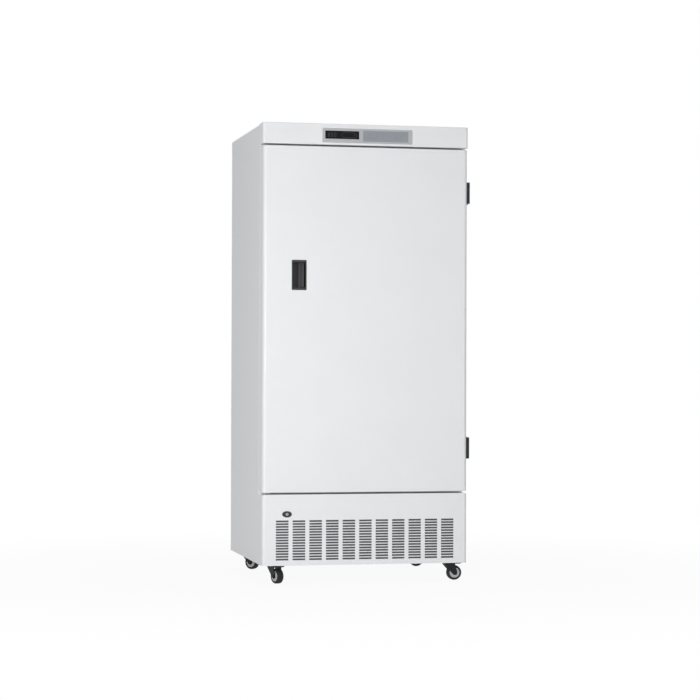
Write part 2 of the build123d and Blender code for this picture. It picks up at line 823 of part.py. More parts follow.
# Caster plates with the upper half of each swivel race, bolted under the pan
with BuildPart() as caster_plates:
    with BuildSketch(Plane.XY.offset(plate_z)):
        with Locations((0, (caster_front_y + caster_rear_y) / 2)):
            with GridLocations(2 * caster_x, caster_rear_y - caster_front_y, 2, 2):
                RectangleRounded(caster_plate, caster_plate, caster_plate_corner)
    extrude(amount=caster_plate_thick)
    with BuildSketch(Plane.XY.offset(race_z)):
        with Locations((0, (caster_front_y + caster_rear_y) / 2)):
            with GridLocations(2 * caster_x, caster_rear_y - caster_front_y, 2, 2):
                Circle(race_radius)
    extrude(amount=race_height)
    with BuildSketch(Plane.XY.offset(race_z)):
        with Locations((0, (caster_front_y + caster_rear_y) / 2)):
            with GridLocations(2 * caster_x, caster_rear_y - caster_front_y, 2, 2):
                Circle(kingpin_radius + bore_gap)
    extrude(amount=race_height + caster_plate_thick, mode=Mode.SUBTRACT)
caster_plates.part.label = "caster_plates"


def caster_fork(name, top, side, braked):
    """Swivel head, two legs and the axle, in the caster's own plane."""
    crown_end = pedal_x - pedal_radius - running_gap if braked else head_radius
    with BuildPart() as fork:
        with BuildSketch(top.offset(crown_top)):
            Circle(head_radius)
        extrude(amount=head_top - crown_top)
        with BuildSketch(top.offset(head_top)):
            Circle(kingpin_radius)
        extrude(amount=kingpin_top - head_top)
        with BuildSketch(side) as crown_side:
            block(fork_leg - head_radius, crown_end, crown_z, crown_top)
        extrude(amount=leg_inner, both=True)
        for face in (leg_inner, -leg_outer):
            with BuildSketch(side.offset(face)) as leg_face:
                with BuildSketch(mode=Mode.PRIVATE) as outline:
                    block(fork_leg - head_radius, pedal_x + pedal_radius, crown_z, crown_top)
                    with Locations((trail, wheel_radius)):
                        Circle(fork_boss)
                make_hull(outline.edges())
                if braked:
                    with Locations((pedal_x, pedal_z)):
                        Circle(pedal_pin_radius + bore_gap, mode=Mode.SUBTRACT)
            extrude(amount=fork_leg)
        with BuildSketch(side):
            with Locations((trail, wheel_radius)):
                Circle(axle_radius)
        extrude(amount=leg_outer, both=True)
        for face in (leg_outer, -leg_outer - axle_head):
            with BuildSketch(side.offset(face)):
                with Locations((trail, wheel_radius)):
                    RegularPolygon(axle_head_radius, 6)
            extrude(amount=axle_head)
    fork.part.label = f"fork_{name}"
    return fork


def caster_tyre(name, side):
    """Tread ring on the hub."""
    with BuildPart() as tyre:
        with BuildSketch(side):
            with Locations((trail, wheel_radius)):
                Circle(wheel_radius)
                Circle(hub_radius, mode=Mode.SUBTRACT)
        extrude(amount=wheel_width / 2, both=True)
        chamfer(tyre.edges().filter_by(GeomType.CIRCLE).sort_by(SortBy.RADIUS)[-2:], tyre_chamfer)
    tyre.part.label = f"tyre_{name}"
    return tyre


def caster_hub(name, side):
    """Hub with a dished web on both faces and a plain bore."""
    with BuildPart() as hub:
        with BuildSketch(side):
            with Locations((trail, wheel_radius)):
                Circle(hub_radius)
                Circle(axle_radius + bore_gap, mode=Mode.SUBTRACT)
        extrude(amount=wheel_width / 2, both=True)
        for face in (wheel_width / 2 - hub_recess, -wheel_width / 2):
            with BuildSketch(side.offset(face)):
                with Locations((trail, wheel_radius)):
                    Circle(hub_radius - hub_rim)
                    Circle(hub_boss, mode=Mode.SUBTRACT)
            extrude(amount=hub_recess, mode=Mode.SUBTRACT)
    hub.part.label = f"hub_{name}"
    return hub


def brake_pedal(name, side):
    """Foot pedal between the fork's legs, with its cross pin and an upturned tip."""
    low, high = pedal_z - pedal_thick / 2, pedal_z + pedal_thick / 2
    with BuildPart() as pedal:
        with BuildSketch(side):
            with Locations((pedal_x, pedal_z)):
                Circle(pedal_radius)
            with BuildLine():
                Polyline(
                    (pedal_x, low),
                    (pedal_x + pedal_length * 0.7, low),
                    (pedal_x + pedal_length, low + pedal_tip_rise),
                    (pedal_x + pedal_length, high + pedal_tip_rise),
                    (pedal_x + pedal_length * 0.6, high),
                    (pedal_x, high),
                    close=True,
                )
            make_face()
        extrude(amount=pedal_width / 2, both=True)
        with BuildSketch(side):
            with Locations((pedal_x, pedal_z)):
                Circle(pedal_pin_radius)
        extrude(amount=leg_outer, both=True)
    pedal.part.label = f"brake_pedal_{name}"
    return pedal


casters = []
for name, x, y, angle, braked in (
    ("front_left", -caster_x, caster_front_y, front_left_angle, True),
    ("front_right", caster_x, caster_front_y, front_right_angle, True),
    ("rear_left", -caster_x, caster_rear_y, rear_left_angle, False),
    ("rear_right", caster_x, caster_rear_y, rear_right_angle, False),
):
    ahead = Vector(cos(radians(angle)), sin(radians(angle)), 0)
    top = Plane(origin=(x, y, 0), x_dir=ahead, z_dir=(0, 0, 1))
    side = Plane(origin=(x, y, 0), x_dir=ahead, z_dir=-top.y_dir)
    casters.append(caster_fork(name, top, side, braked))
    casters.append(caster_tyre(name, side))
    casters.append(caster_hub(name, side))
    if braked:
        casters.append(brake_pedal(name, side))


def shelf(index, level):
    """Slotted steel shelf that lies on the liner's ledges, turned down in front and behind."""
    x = cavity_x - shelf_side_gap
    flange_x = cavity_x - ledge_reach - shelf_side_gap
    depth = shelf_back_y - shelf_front_y
    columns = int((2 * flange_x - shelf_slot_width) / shelf_slot_pitch_x)
    rows = int((depth - shelf_slot_pitch_y) / shelf_slot_pitch_y)
    with BuildPart() as deck:
        with BuildSketch(Plane.XY.offset(level)):
            block(-x, x, shelf_front_y, shelf_back_y)
            with Locations((0, (shelf_front_y + shelf_back_y) / 2)):
                with GridLocations(shelf_slot_pitch_x, shelf_slot_pitch_y, columns, rows):
                    Rectangle(shelf_slot_width, shelf_slot_depth, mode=Mode.SUBTRACT)
        extrude(amount=shelf_thick)
        with BuildSketch(Plane.XY.offset(level - shelf_flange)):
            block(-flange_x, flange_x, shelf_front_y, shelf_front_y + shelf_thick)
            block(-flange_x, flange_x, shelf_back_y - shelf_thick, shelf_back_y)
        extrude(amount=shelf_flange)
    deck.part.label = f"shelf_{index + 1}"
    return deck


shelves = [shelf(index, level) for index, level in enumerate(shelf_levels)]

# Evaporator: roll-bonded plate on the liner's rear wall with a serpentine channel
plate_x = cavity_x - evaporator_margin
plate_low = cavity_bottom + evaporator_margin
plate_high = cavity_top - evaporator_margin
evaporator_y = cavity_back_y - evaporator_standoff - evaporator_thick
passes = int((plate_high - plate_low - 2 * channel_margin) / channel_pitch) + 1
channel_x = plate_x - channel_margin
serpentine = []
for index in range(passes):
    z = plate_low + channel_margin + channel_pitch * index
    ends = ((-channel_x, z), (channel_x, z))
    serpentine.extend(ends if index % 2 == 0 else ends[::-1])
with BuildPart() as evaporator:
    with BuildSketch(facing(evaporator_y)):
        block(-plate_x, plate_x, plate_low, plate_high)
    extrude(amount=-evaporator_thick)
    with BuildSketch(facing(evaporator_y)):
        with BuildLine():
            FilletPolyline(*serpentine, radius=channel_bend)
        trace(line_width=channel_width)
    extrude(amount=channel_height)
    with BuildSketch(facing(evaporator_y + evaporator_thick)):
        with Locations((0, cavity_mid_z)):
            with GridLocations(2 * channel_x, plate_high - plate_low - channel_margin, 2, 2):
                Circle(channel_width / 2)
    extrude(amount=-evaporator_standoff)
evaporator.part.label = "evaporator"

# Temperature sensor in its vented guard on the liner's right wall
sensor_z = cavity_top - shelf_pitch / 2
sensor_y = cavity_back_y - 2 * sensor_height
with BuildPart() as temperature_sensor:
    with BuildSketch(Plane.YZ.offset(cavity_x)):
        with Locations((sensor_y, sensor_z)):
            RectangleRounded(sensor_height, sensor_width, sensor_width / 3)
    extrude(amount=-sensor_depth)
    fillet(temperature_sensor.faces().sort_by(Axis.X)[0].edges(), sensor_width / 6)
    with BuildSketch(Plane.YZ.offset(cavity_x - sensor_depth)):
        with Locations((sensor_y, sensor_z)):
            with GridLocations(sensor_height / (sensor_slots + 1), 0, sensor_slots, 1):
                Rectangle(sensor_width / 6, sensor_width / 2)
    extrude(amount=sensor_depth / 2, mode=Mode.SUBTRACT)
temperature_sensor.part.label = "temperature_sensor"

# Compressor: drawn steel shell on a mounting plate with four rubber feet and a terminal box
compressor_x = half_width - compressor_inset_side
compressor_y = back_y - compressor_inset_rear
mount_z = room_floor_z + foot_height
shell_base = mount_z + 2 * pan_thick
with BuildPart() as compressor:
    with BuildSketch(Plane.XZ.offset(-compressor_y)):
        with BuildLine():
            x0, x1 = compressor_x, compressor_x + compressor_radius
            dome = compressor_radius / 6
            shell_top = shell_base + compressor_height
            Polyline(
                (x0, shell_base),
                (x1 - dome, shell_base),
                (x1, shell_base + dome),
                (x1, shell_top - 4 * dome),
                (x1 - 0.5 * dome, shell_top - 2 * dome),
                (x1 - 2 * dome, shell_top - 0.5 * dome),
                (x1 - 4 * dome, shell_top),
                (x0, shell_top),
                close=True,
            )
        make_face()
    revolve(axis=Axis((compressor_x, compressor_y, 0), (0, 0, 1)))
    with BuildSketch(Plane.XY.offset(mount_z)):
        with Locations((compressor_x, compressor_y)):
            RectangleRounded(foot_spacing + 3 * foot_radius, foot_spacing + 3 * foot_radius, foot_radius)
            Circle(compressor_radius / 2, mode=Mode.SUBTRACT)
    extrude(amount=2 * pan_thick)
    with BuildSketch(Plane.XY.offset(shell_base + compressor_height / 3)):
        with Locations((compressor_x - compressor_radius, compressor_y)):
            RectangleRounded(compressor_radius / 2, compressor_radius, foot_radius / 2)
    extrude(amount=compressor_height / 3)
compressor.part.label = "compressor"

# Rubber feet between the compressor's plate and the pan
with BuildPart() as compressor_feet:
    with BuildSketch(Plane.XY.offset(room_floor_z)):
        with Locations((compressor_x, compressor_y)):
            with GridLocations(foot_spacing, foot_spacing, 2, 2):
                Circle(foot_radius)
    extrude(amount=foot_height)
compressor_feet.part.label = "compressor_feet"

# Condenser: finned block with return bends at both ends
condenser_x = condenser_inset - half_width
condenser_front_y = front_y + door_thick + condenser_setback
condenser_back_y = condenser_front_y + condenser_depth
condenser_mid_y = (condenser_front_y + condenser_back_y) / 2
condenser_low = room_floor_z
condenser_high = condenser_low + condenser_height
fin_count = int((condenser_width - 2 * fin_slot) / fin_pitch)
pass_pitch = condenser_height / (condenser_passes + 1)
with BuildPart() as condenser:
    with BuildSketch(Plane.XY.offset(condenser_low)):
        with Locations((condenser_x, condenser_mid_y)):
            Rectangle(condenser_width, condenser_depth)
    extrude(amount=condenser_height)
    with BuildSketch(Plane.XY.offset(condenser_low)):
        for groove_y in (condenser_front_y + fin_groove / 2, condenser_back_y - fin_groove / 2):
            with Locations((condenser_x, groove_y)):
                with GridLocations(fin_pitch, 0, fin_count, 1):
                    Rectangle(fin_slot, fin_groove)
    extrude(amount=condenser_height, mode=Mode.SUBTRACT)
    for end in (-1, 1):
        end_x = condenser_x + end * condenser_width / 2
        with BuildSketch(Plane.YZ.offset(end_x)):
            for index in range(condenser_passes):
                with Locations((condenser_mid_y - bend_radius, condenser_low + pass_pitch * (index + 1))):
                    RegularPolygon(bend_tube, 8)
        revolve(axis=Axis((end_x, condenser_mid_y, 0), (0, 0, end)), revolution_arc=180)
condenser.part.label = "condenser"

# Fan shroud: plate on the pan with a rolled inlet ring and three arms for the motor
fan_x = condenser_x
fan_z = condenser_low + condenser_height / 2
shroud_y = condenser_back_y + fan_gap
ring_radius = fan_radius + fan_tip_gap
motor_y = shroud_y + fan_ring_depth
with BuildPart() as fan_shroud:
    with BuildSketch(facing(shroud_y)):
        block(fan_x - condenser_width / 2, fan_x + condenser_width / 2, room_floor_z, condenser_high)
        with Locations((fan_x, fan_z)):
            Circle(ring_radius, mode=Mode.SUBTRACT)
    extrude(amount=-fan_ring_wall)
    with BuildSketch(facing(shroud_y)):
        with Locations((fan_x, fan_z)):
            Circle(ring_radius + fan_ring_wall)
            Circle(ring_radius, mode=Mode.SUBTRACT)
    extrude(amount=-fan_ring_depth)
    with BuildSketch(facing(motor_y)):
        with Locations((fan_x, fan_z)):
            with PolarLocations((ring_radius + motor_radius) / 2, 3, start_angle=90):
                Rectangle(ring_radius + 2 * fan_ring_wall - motor_radius, motor_arm)
            Circle(motor_radius + fan_ring_wall)
            Circle(motor_radius, mode=Mode.SUBTRACT)
    extrude(amount=-fan_ring_wall)
    with BuildSketch(facing(condenser_back_y)):
        for edge_x in (fan_x - condenser_width / 2, fan_x + condenser_width / 2 - fan_ring_wall):
            block(edge_x, edge_x + fan_ring_wall, room_floor_z, condenser_high)
    extrude(amount=-fan_gap)
fan_shroud.part.label = "fan_shroud"

# Fan motor held in the ring of the arms, with its shaft towards the blades
hub_back_y = motor_y - fan_ring_wall
hub_front_y = hub_back_y - fan_hub_depth
with BuildPart() as fan_motor:
    with BuildSketch(facing(motor_y)):
        with Locations((fan_x, fan_z)):
            Circle(motor_radius)
    extrude(amount=-motor_length)
    chamfer(fan_motor.edges().group_by(Axis.Y)[-1], motor_radius / 6)
    with BuildSketch(facing(motor_y)):
        with Locations((fan_x, fan_z)):
            Circle(motor_shaft_radius)
    extrude(amount=motor_y - hub_front_y)
fan_motor.part.label = "fan_motor"

# Fan blades: hub with twisted blades, coarse in pitch at the root and fine at the tip
blade_y = (hub_front_y + hub_back_y) / 2
with BuildPart() as fan_blades:
    with BuildSketch(facing(hub_back_y)):
        with Locations((fan_x, fan_z)):
            Circle(fan_hub_radius)
    extrude(amount=fan_hub_depth)
    chamfer(fan_blades.edges().group_by(Axis.Y)[0], fan_ring_wall)
    for index in range(fan_blades_count):
        turn = radians(360 / fan_blades_count * index)
        outward = Vector(cos(turn), 0, sin(turn))
        around = Vector(-sin(turn), 0, cos(turn))
        for radius, chord, pitch in (
            (fan_hub_radius - blade_thick, blade_root_chord, blade_root_pitch),
            (fan_radius, blade_tip_chord, blade_tip_pitch),
        ):
            lean = radians(pitch)
            along = around * cos(lean) + Vector(0, sin(lean), 0)
            section = Plane(
                origin=Vector(fan_x, blade_y, fan_z) + outward * radius, x_dir=along, z_dir=outward
            )
            with BuildSketch(section):
                Rectangle(chord, blade_thick)
        loft(ruled=True)
    with BuildSketch(facing(hub_back_y)):
        with Locations((fan_x, fan_z)):
            Circle(motor_shaft_radius + bore_gap)
    extrude(amount=fan_hub_depth, mode=Mode.SUBTRACT)
fan_blades.part.label = "fan_blades"

# Discharge pipe from the compressor's shell over to the condenser's top
pipe_start = (compressor_x, compressor_y - compressor_radius, shell_base + compressor_height / 2)
pipe_end = (condenser_x + condenser_width / 2, condenser_mid_y, condenser_high - fin_slot)
with BuildPart() as discharge_pipe:
    with BuildLine() as pipe_route:
        FilletPolyline(
            pipe_start,
            (pipe_start[0], pipe_end[1], pipe_start[2]),
            (pipe_start[0], pipe_end[1], pipe_end[2]),
            pipe_end,
            radius=pipe_bend,
        )
    with BuildSketch(Plane(origin=pipe_start, z_dir=(0, -1, 0))):
        Circle(pipe_radius)
    sweep(path=pipe_route.wires()[0])
discharge_pipe.part.label = "discharge_pipe"

# Drip tray for the melt water
tray_x = tray_inset_side - half_width
tray_y = back_y - tray_inset_rear
with BuildPart() as drip_tray:
    with BuildSketch(Plane.XY.offset(room_floor_z)):
        with Locations((tray_x, tray_y)):
            RectangleRounded(tray_width, tray_depth, 4 * tray_wall)
    extrude(amount=tray_height)
    offset(amount=-tray_wall, openings=drip_tray.faces().sort_by(Axis.Z)[-1])
drip_tray.part.label = "drip_tray"

# Power inlet in the rear cover: flange, body and three blades in its mouth
inlet_outer_y = back_y + inlet_flange_thick
with BuildPart() as power_inlet:
    with BuildSketch(facing(back_y)):
        with Locations((inlet_x, inlet_z)):
            RectangleRounded(inlet_flange_width, inlet_flange_height, inlet_flange_thick)
    extrude(amount=-inlet_flange_thick)
    with BuildSketch(facing(back_y)):
        with Locations((inlet_x, inlet_z)):
            Rectangle(inlet_width - 2 * running_gap, inlet_height - 2 * running_gap)
    extrude(amount=inlet_depth)
    with BuildSketch(facing(inlet_outer_y)) as inlet_mouth:
        with Locations((inlet_x, inlet_z)):
            Rectangle(inlet_mouth_width, inlet_mouth_height)
        chamfer(inlet_mouth.vertices().group_by(Axis.Y)[-1], inlet_mouth_height / 4)
    extrude(amount=inlet_mouth_depth, mode=Mode.SUBTRACT)
    with BuildSketch(facing(inlet_outer_y - inlet_mouth_depth)):
        with Locations((inlet_x, inlet_z + inlet_blade_height / 2)):
            Rectangle(inlet_blade_width, inlet_blade_height)
        with Locations((inlet_x, inlet_z - inlet_blade_height / 2)):
            with GridLocations(2 * inlet_blade_pitch, 0, 2, 1):
                Rectangle(inlet_blade_width, inlet_blade_height)
    extrude(amount=-(inlet_mouth_depth - inlet_flange_thick))
power_inlet.part.label = "power_inlet"

# Hexagon-head screws along the edges of the two rear panels
screw_span = cabinet_width - 2 * screw_inset
upper_rise = (cabinet_height - divider_z - 2 * screw_inset) / (screw_rows - 1)
lower_rise = divider_z - floor_clearance - 2 * screw_inset
with BuildPart() as panel_screws:
    with BuildSketch(facing(back_y)):
        with Locations((0, (divider_z + cabinet_height) / 2)):
            with GridLocations(screw_span, upper_rise, 2, screw_rows):
                RegularPolygon(screw_radius, 6)
        with Locations((0, (floor_clearance + divider_z) / 2)):
            with GridLocations(screw_span, lower_rise, 2, 2):
                RegularPolygon(screw_radius, 6)
    extrude(amount=-screw_height)
panel_screws.part.label = "panel_screws"

pieces = [
    outer_shell, cabinet_foam, inner_liner, breaker_strip, divider_panel, back_panel, rear_cover, base_pan,
    header_cover, panel_bezel, display_window, keypad_sheet, control_board, *panel_keys,
    grille_panel, switch_body, key_barrel,
    door_skin, door_foam, door_liner, door_gasket, handle_pocket, handle_grip, *hinges,
    caster_plates, *casters, *shelves, evaporator, temperature_sensor,
    compressor, compressor_feet, condenser, fan_shroud, fan_motor, fan_blades,
    discharge_pipe, drip_tray, power_inlet, panel_screws,
]

os.makedirs("parts", exist_ok=True)
for piece in pieces:
    export_step(piece.part, f"parts/{piece.part.label}.step")
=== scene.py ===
"""Studio scene of an upright laboratory freezer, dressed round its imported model."""

import json
import logging
from dataclasses import dataclass
from enum import Enum
from math import cos, pi, radians, sin, tau
from typing import Any, Iterable

import bmesh
import bpy
from bmesh.types import BMesh
from mathutils import Matrix, Vector


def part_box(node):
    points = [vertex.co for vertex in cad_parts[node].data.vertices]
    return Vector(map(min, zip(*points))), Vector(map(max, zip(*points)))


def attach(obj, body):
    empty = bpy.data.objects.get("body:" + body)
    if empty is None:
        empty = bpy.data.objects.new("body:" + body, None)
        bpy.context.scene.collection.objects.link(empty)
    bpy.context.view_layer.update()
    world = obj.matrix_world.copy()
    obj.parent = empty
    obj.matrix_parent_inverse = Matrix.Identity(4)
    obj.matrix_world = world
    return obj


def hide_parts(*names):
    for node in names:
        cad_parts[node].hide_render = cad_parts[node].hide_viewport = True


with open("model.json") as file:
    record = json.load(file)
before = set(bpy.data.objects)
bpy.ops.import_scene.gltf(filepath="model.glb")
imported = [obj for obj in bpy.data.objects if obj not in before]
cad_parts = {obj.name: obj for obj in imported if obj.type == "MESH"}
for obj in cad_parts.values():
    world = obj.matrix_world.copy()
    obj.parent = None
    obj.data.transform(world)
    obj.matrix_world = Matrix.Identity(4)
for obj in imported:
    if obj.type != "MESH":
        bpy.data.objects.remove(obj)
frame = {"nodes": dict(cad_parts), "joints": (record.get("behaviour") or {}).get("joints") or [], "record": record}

LOG = logging.getLogger("freezer")
WELD = 1e-6
COAT_ROUGHNESS = 0.12
CLOUD_SCALE = 7.0
CLOUD_DETAIL = 4.0
GRAIN_DETAIL = 2.0
GRAIN_SHARE = 0.35
GLOSS_SPREAD = 0.05
BUMP_STRENGTH = 0.6
Colour = tuple[float, float, float]
Point = Vector | tuple[float, float, float]


def linear(shade: float) -> float:
    """Turns one display value from 0 to 255 into scene light."""
    value = shade / 255
    return value / 12.92 if value <= 0.04045 else ((value + 0.055) / 1.055) ** 2.4


def tone(red: float, green: float, blue: float) -> tuple[float, float, float, float]:
    """Turns a display colour from 0 to 255 into a shader colour."""
    return linear(red), linear(green), linear(blue), 1.0


class Surface(Enum):
    """Fine relief of a finish."""

    ORANGE_PEEL = "orange peel of stoved paint"
    SPARK_GRAIN = "fine grain of a moulded face"
    SPANGLE = "crystals of zinc plating"
    BRUSHED = "lines of brushed or drawn metal"
    CELLS = "cells of rigid foam"
    RUBBED = "matte skin of rubber"
    POLISHED = "smooth skin of a formed or glazed sheet"


@dataclass(frozen=True)
class Finish:
    """A paint, plastic or metal with its colour, gloss and relief.

    Attributes:
        name: Name of the material.
        shade: Display colour from 0 to 255.
        surface: Kind of fine relief.
        roughness: Middle roughness.
        metallic: 1 for bare metal.
        mottle: How far the colour strays to either side, as a share of it.
        relief: Height of the relief in metres.
        pitch: Size of one grain of the relief in metres.
        coat: Weight of a clear coat.
        mirror: Strength of the mirror at the surface; 0.5 is plain plastic.
    """

    name: str
    shade: Colour
    surface: Surface
    roughness: float = 0.45
    metallic: float = 0.0
    mottle: float = 0.03
    relief: float = 0.00002
    pitch: float = 0.0012
    coat: float = 0.0
    mirror: float = 0.5

    def grain(self, nodes: bpy.types.Nodes, links: bpy.types.NodeLinks) -> Any:
        """Adds the relief's pattern.

        Args:
            nodes: Nodes of the material.
            links: Links of the material.

        Returns:
            The socket that carries the pattern's value.
        """
        place = nodes.new("ShaderNodeTexCoord")
        stretch = nodes.new("ShaderNodeMapping")
        links.new(place.outputs["Object"], stretch.inputs["Vector"])
        if self.surface is Surface.BRUSHED:
            stretch.inputs["Scale"].default_value = (0.06, 1.0, 1.0)
        if self.surface in (Surface.SPANGLE, Surface.CELLS):
            pattern = nodes.new("ShaderNodeTexVoronoi")
            pattern.inputs["Scale"].default_value = 1 / self.pitch
            links.new(stretch.outputs["Vector"], pattern.inputs["Vector"])
            if self.surface is Surface.CELLS:
                return pattern.outputs["Distance"]
            grey = nodes.new("ShaderNodeRGBToBW")
            links.new(pattern.outputs["Color"], grey.inputs["Color"])
            return grey.outputs["Val"]
        pattern = nodes.new("ShaderNodeTexNoise")
        pattern.inputs["Scale"].default_value = 1 / self.pitch
        pattern.inputs["Detail"].default_value = GRAIN_DETAIL
        links.new(stretch.outputs["Vector"], pattern.inputs["Vector"])
        return pattern.outputs["Fac"]

    def build(self) -> bpy.types.Material:
        """Makes the material of this finish.

        Returns:
            The material, with colour, roughness and bump from its own patterns.
        """
        material = bpy.data.materials.new(self.name)
        material.use_nodes = True
        nodes, links = material.node_tree.nodes, material.node_tree.links
        shader = nodes["Principled BSDF"]
        shader.inputs["Metallic"].default_value = self.metallic
        shader.inputs["Coat Weight"].default_value = self.coat
        shader.inputs["Coat Roughness"].default_value = COAT_ROUGHNESS
        shader.inputs["Specular IOR Level"].default_value = self.mirror
        grain = self.grain(nodes, links)

        place = nodes.new("ShaderNodeTexCoord")
        cloud = nodes.new("ShaderNodeTexNoise")
        cloud.inputs["Scale"].default_value = CLOUD_SCALE
        cloud.inputs["Detail"].default_value = CLOUD_DETAIL
        links.new(place.outputs["Object"], cloud.inputs["Vector"])

        blend = nodes.new("ShaderNodeMath")
        blend.operation = "MULTIPLY_ADD"
        blend.inputs[1].default_value = GRAIN_SHARE
        links.new(grain, blend.inputs[0])
        links.new(cloud.outputs["Fac"], blend.inputs[2])
        ramp = nodes.new("ShaderNodeValToRGB")
        low = [max(0.0, value * (1 - self.mottle)) for value in self.shade]
        high = [min(255.0, value * (1 + self.mottle)) for value in self.shade]
        ramp.color_ramp.elements[0].position = GRAIN_SHARE
        ramp.color_ramp.elements[0].color = tone(*low)
        ramp.color_ramp.elements[1].position = 1.0
        ramp.color_ramp.elements[1].color = tone(*high)
        links.new(blend.outputs["Value"], ramp.inputs["Fac"])
        links.new(ramp.outputs["Color"], shader.inputs["Base Color"])

        gloss = nodes.new("ShaderNodeMapRange")
        gloss.inputs["To Min"].default_value = max(0.02, self.roughness - GLOSS_SPREAD)
        gloss.inputs["To Max"].default_value = min(1.0, self.roughness + GLOSS_SPREAD)
        links.new(cloud.outputs["Fac"], gloss.inputs["Value"])
        links.new(gloss.outputs["Result"], shader.inputs["Roughness"])

        bump = nodes.new("ShaderNodeBump")
        bump.inputs["Strength"].default_value = BUMP_STRENGTH
        bump.inputs["Distance"].default_value = self.relief
        links.new(grain, bump.inputs["Height"])
        links.new(bump.outputs["Normal"], shader.inputs["Normal"])
        return material


FINISHES: dict[str, Finish] = {
    "cabinet_paint": Finish(
        "Stoved_White", (237, 238, 240), Surface.ORANGE_PEEL, 0.42, mottle=0.006, relief=0.000012,
        pitch=0.0016, coat=0.08,
    ),
    "zinc_sheet": Finish(
        "Zinc_Plating", (166, 170, 174), Surface.SPANGLE, 0.42, 0.75, 0.09, 0.000004, 0.007
    ),
    "foam": Finish("Rigid_Foam", (226, 206, 158), Surface.CELLS, 0.9, mottle=0.06, relief=0.0003),
    "liner_plastic": Finish(
        "Formed_Liner", (240, 242, 243), Surface.POLISHED, 0.3, mottle=0.01, relief=0.00006, pitch=0.011
    ),
    "gasket_rubber": Finish(
        "Seal_Grey", (150, 152, 155), Surface.RUBBED, 0.62, mottle=0.03, relief=0.00003
    ),
    "bezel_plastic": Finish(
        "Silver_Bezel", (178, 180, 182), Surface.SPARK_GRAIN, 0.4, 0.15, 0.02, 0.000015, 0.0006
    ),
    "display_plastic": Finish(
        "Display_Glass", (16, 16, 20), Surface.POLISHED, 0.16, mottle=0.05, relief=0.000002, mirror=0.12
    ),
    "keypad_film": Finish(
        "Keypad_Film", (146, 151, 157), Surface.SPARK_GRAIN, 0.5, mottle=0.02, relief=0.00001, pitch=0.0004
    ),
    "circuit_board": Finish(
        "Circuit_Laminate", (28, 92, 58), Surface.BRUSHED, 0.4, mottle=0.12, pitch=0.0015
    ),
    "handle_plastic": Finish(
        "Handle_Black", (26, 26, 28), Surface.SPARK_GRAIN, 0.42, mottle=0.08, relief=0.00003, pitch=0.0007
    ),
    "hinge_paint": Finish(
        "Hinge_Black", (26, 26, 29), Surface.ORANGE_PEEL, 0.4, mottle=0.06, pitch=0.0009, mirror=0.3
    ),
    "barrel_metal": Finish("Key_Steel", (150, 152, 155), Surface.BRUSHED, 0.28, 1.0, 0.05, pitch=0.0003),
    "caster_steel": Finish(
        "Caster_Black", (20, 20, 22), Surface.ORANGE_PEEL, 0.38, mottle=0.08, pitch=0.0008, mirror=0.25
    ),
    "pedal_plastic": Finish("Pedal_Black", (30, 30, 32), Surface.SPARK_GRAIN, 0.5, mottle=0.06),
    "tread": Finish(
        "Wheel_Tread", (34, 34, 36), Surface.RUBBED, 0.7, mottle=0.12, relief=0.00005, mirror=0.3
    ),
    "hub_plastic": Finish("Hub_Grey", (196, 198, 200), Surface.SPARK_GRAIN, 0.5, mottle=0.04),
    "shelf_coating": Finish(
        "Shelf_White", (234, 236, 238), Surface.ORANGE_PEEL, 0.36, mottle=0.01, pitch=0.001, coat=0.2
    ),
    "evaporator_metal": Finish("Cold_Plate", (206, 208, 210), Surface.BRUSHED, 0.4, 0.9, 0.04),
    "sensor_plastic": Finish("Sensor_White", (226, 228, 229), Surface.SPARK_GRAIN, 0.5, mottle=0.02),
    "compressor_paint": Finish(
        "Compressor_Black", (28, 28, 30), Surface.ORANGE_PEEL, 0.3, mottle=0.08, coat=0.4
    ),
    "foot_rubber": Finish("Foot_Rubber", (36, 36, 36), Surface.RUBBED, 0.75, mottle=0.08),
    "condenser_fins": Finish("Fin_Stock", (176, 178, 180), Surface.BRUSHED, 0.42, 0.9, 0.06),
    "fan_plastic": Finish("Fan_Grey", (48, 49, 52), Surface.SPARK_GRAIN, 0.5, mottle=0.06),
    "motor_metal": Finish("Motor_Cast", (158, 160, 163), Surface.SPARK_GRAIN, 0.45, 0.85, 0.05),
    "pipe_copper": Finish("Copper_Pipe", (196, 128, 92), Surface.BRUSHED, 0.35, 1.0, 0.08),
    "unlit_segment": Finish("Unlit_Segment", (52, 50, 54), Surface.POLISHED, 0.3, mottle=0.03),
    "filter_weave": Finish(
        "Filter_Weave", (104, 105, 108), Surface.RUBBED, 0.85, mottle=0.14, relief=0.0001, mirror=0.2
    ),
    "screw_steel": Finish("Screw_Steel", (178, 180, 184), Surface.BRUSHED, 0.3, 1.0, 0.05),
}


class Wardrobe:
    """Holds one material for each finish and puts them on pieces and nodes."""

    def __init__(self) -> None:
        """Makes every material once."""
        self.materials = {slot: finish.build() for slot, finish in FINISHES.items()}

    def dress(self, piece: bpy.types.Object, slot: str) -> None:
        """Gives a piece one material all over."""
        piece.data.materials.clear()
        piece.data.materials.append(self.materials[slot])

    def dress_nodes(self) -> int:
        """Gives each node of the frame the finish that its record names.

        Returns:
            How many nodes were dressed.
        """
        for entry in frame["record"]["subparts"]:
            self.dress(frame["nodes"][entry["node"]], entry["material_slot"])
        return len(frame["record"]["subparts"])


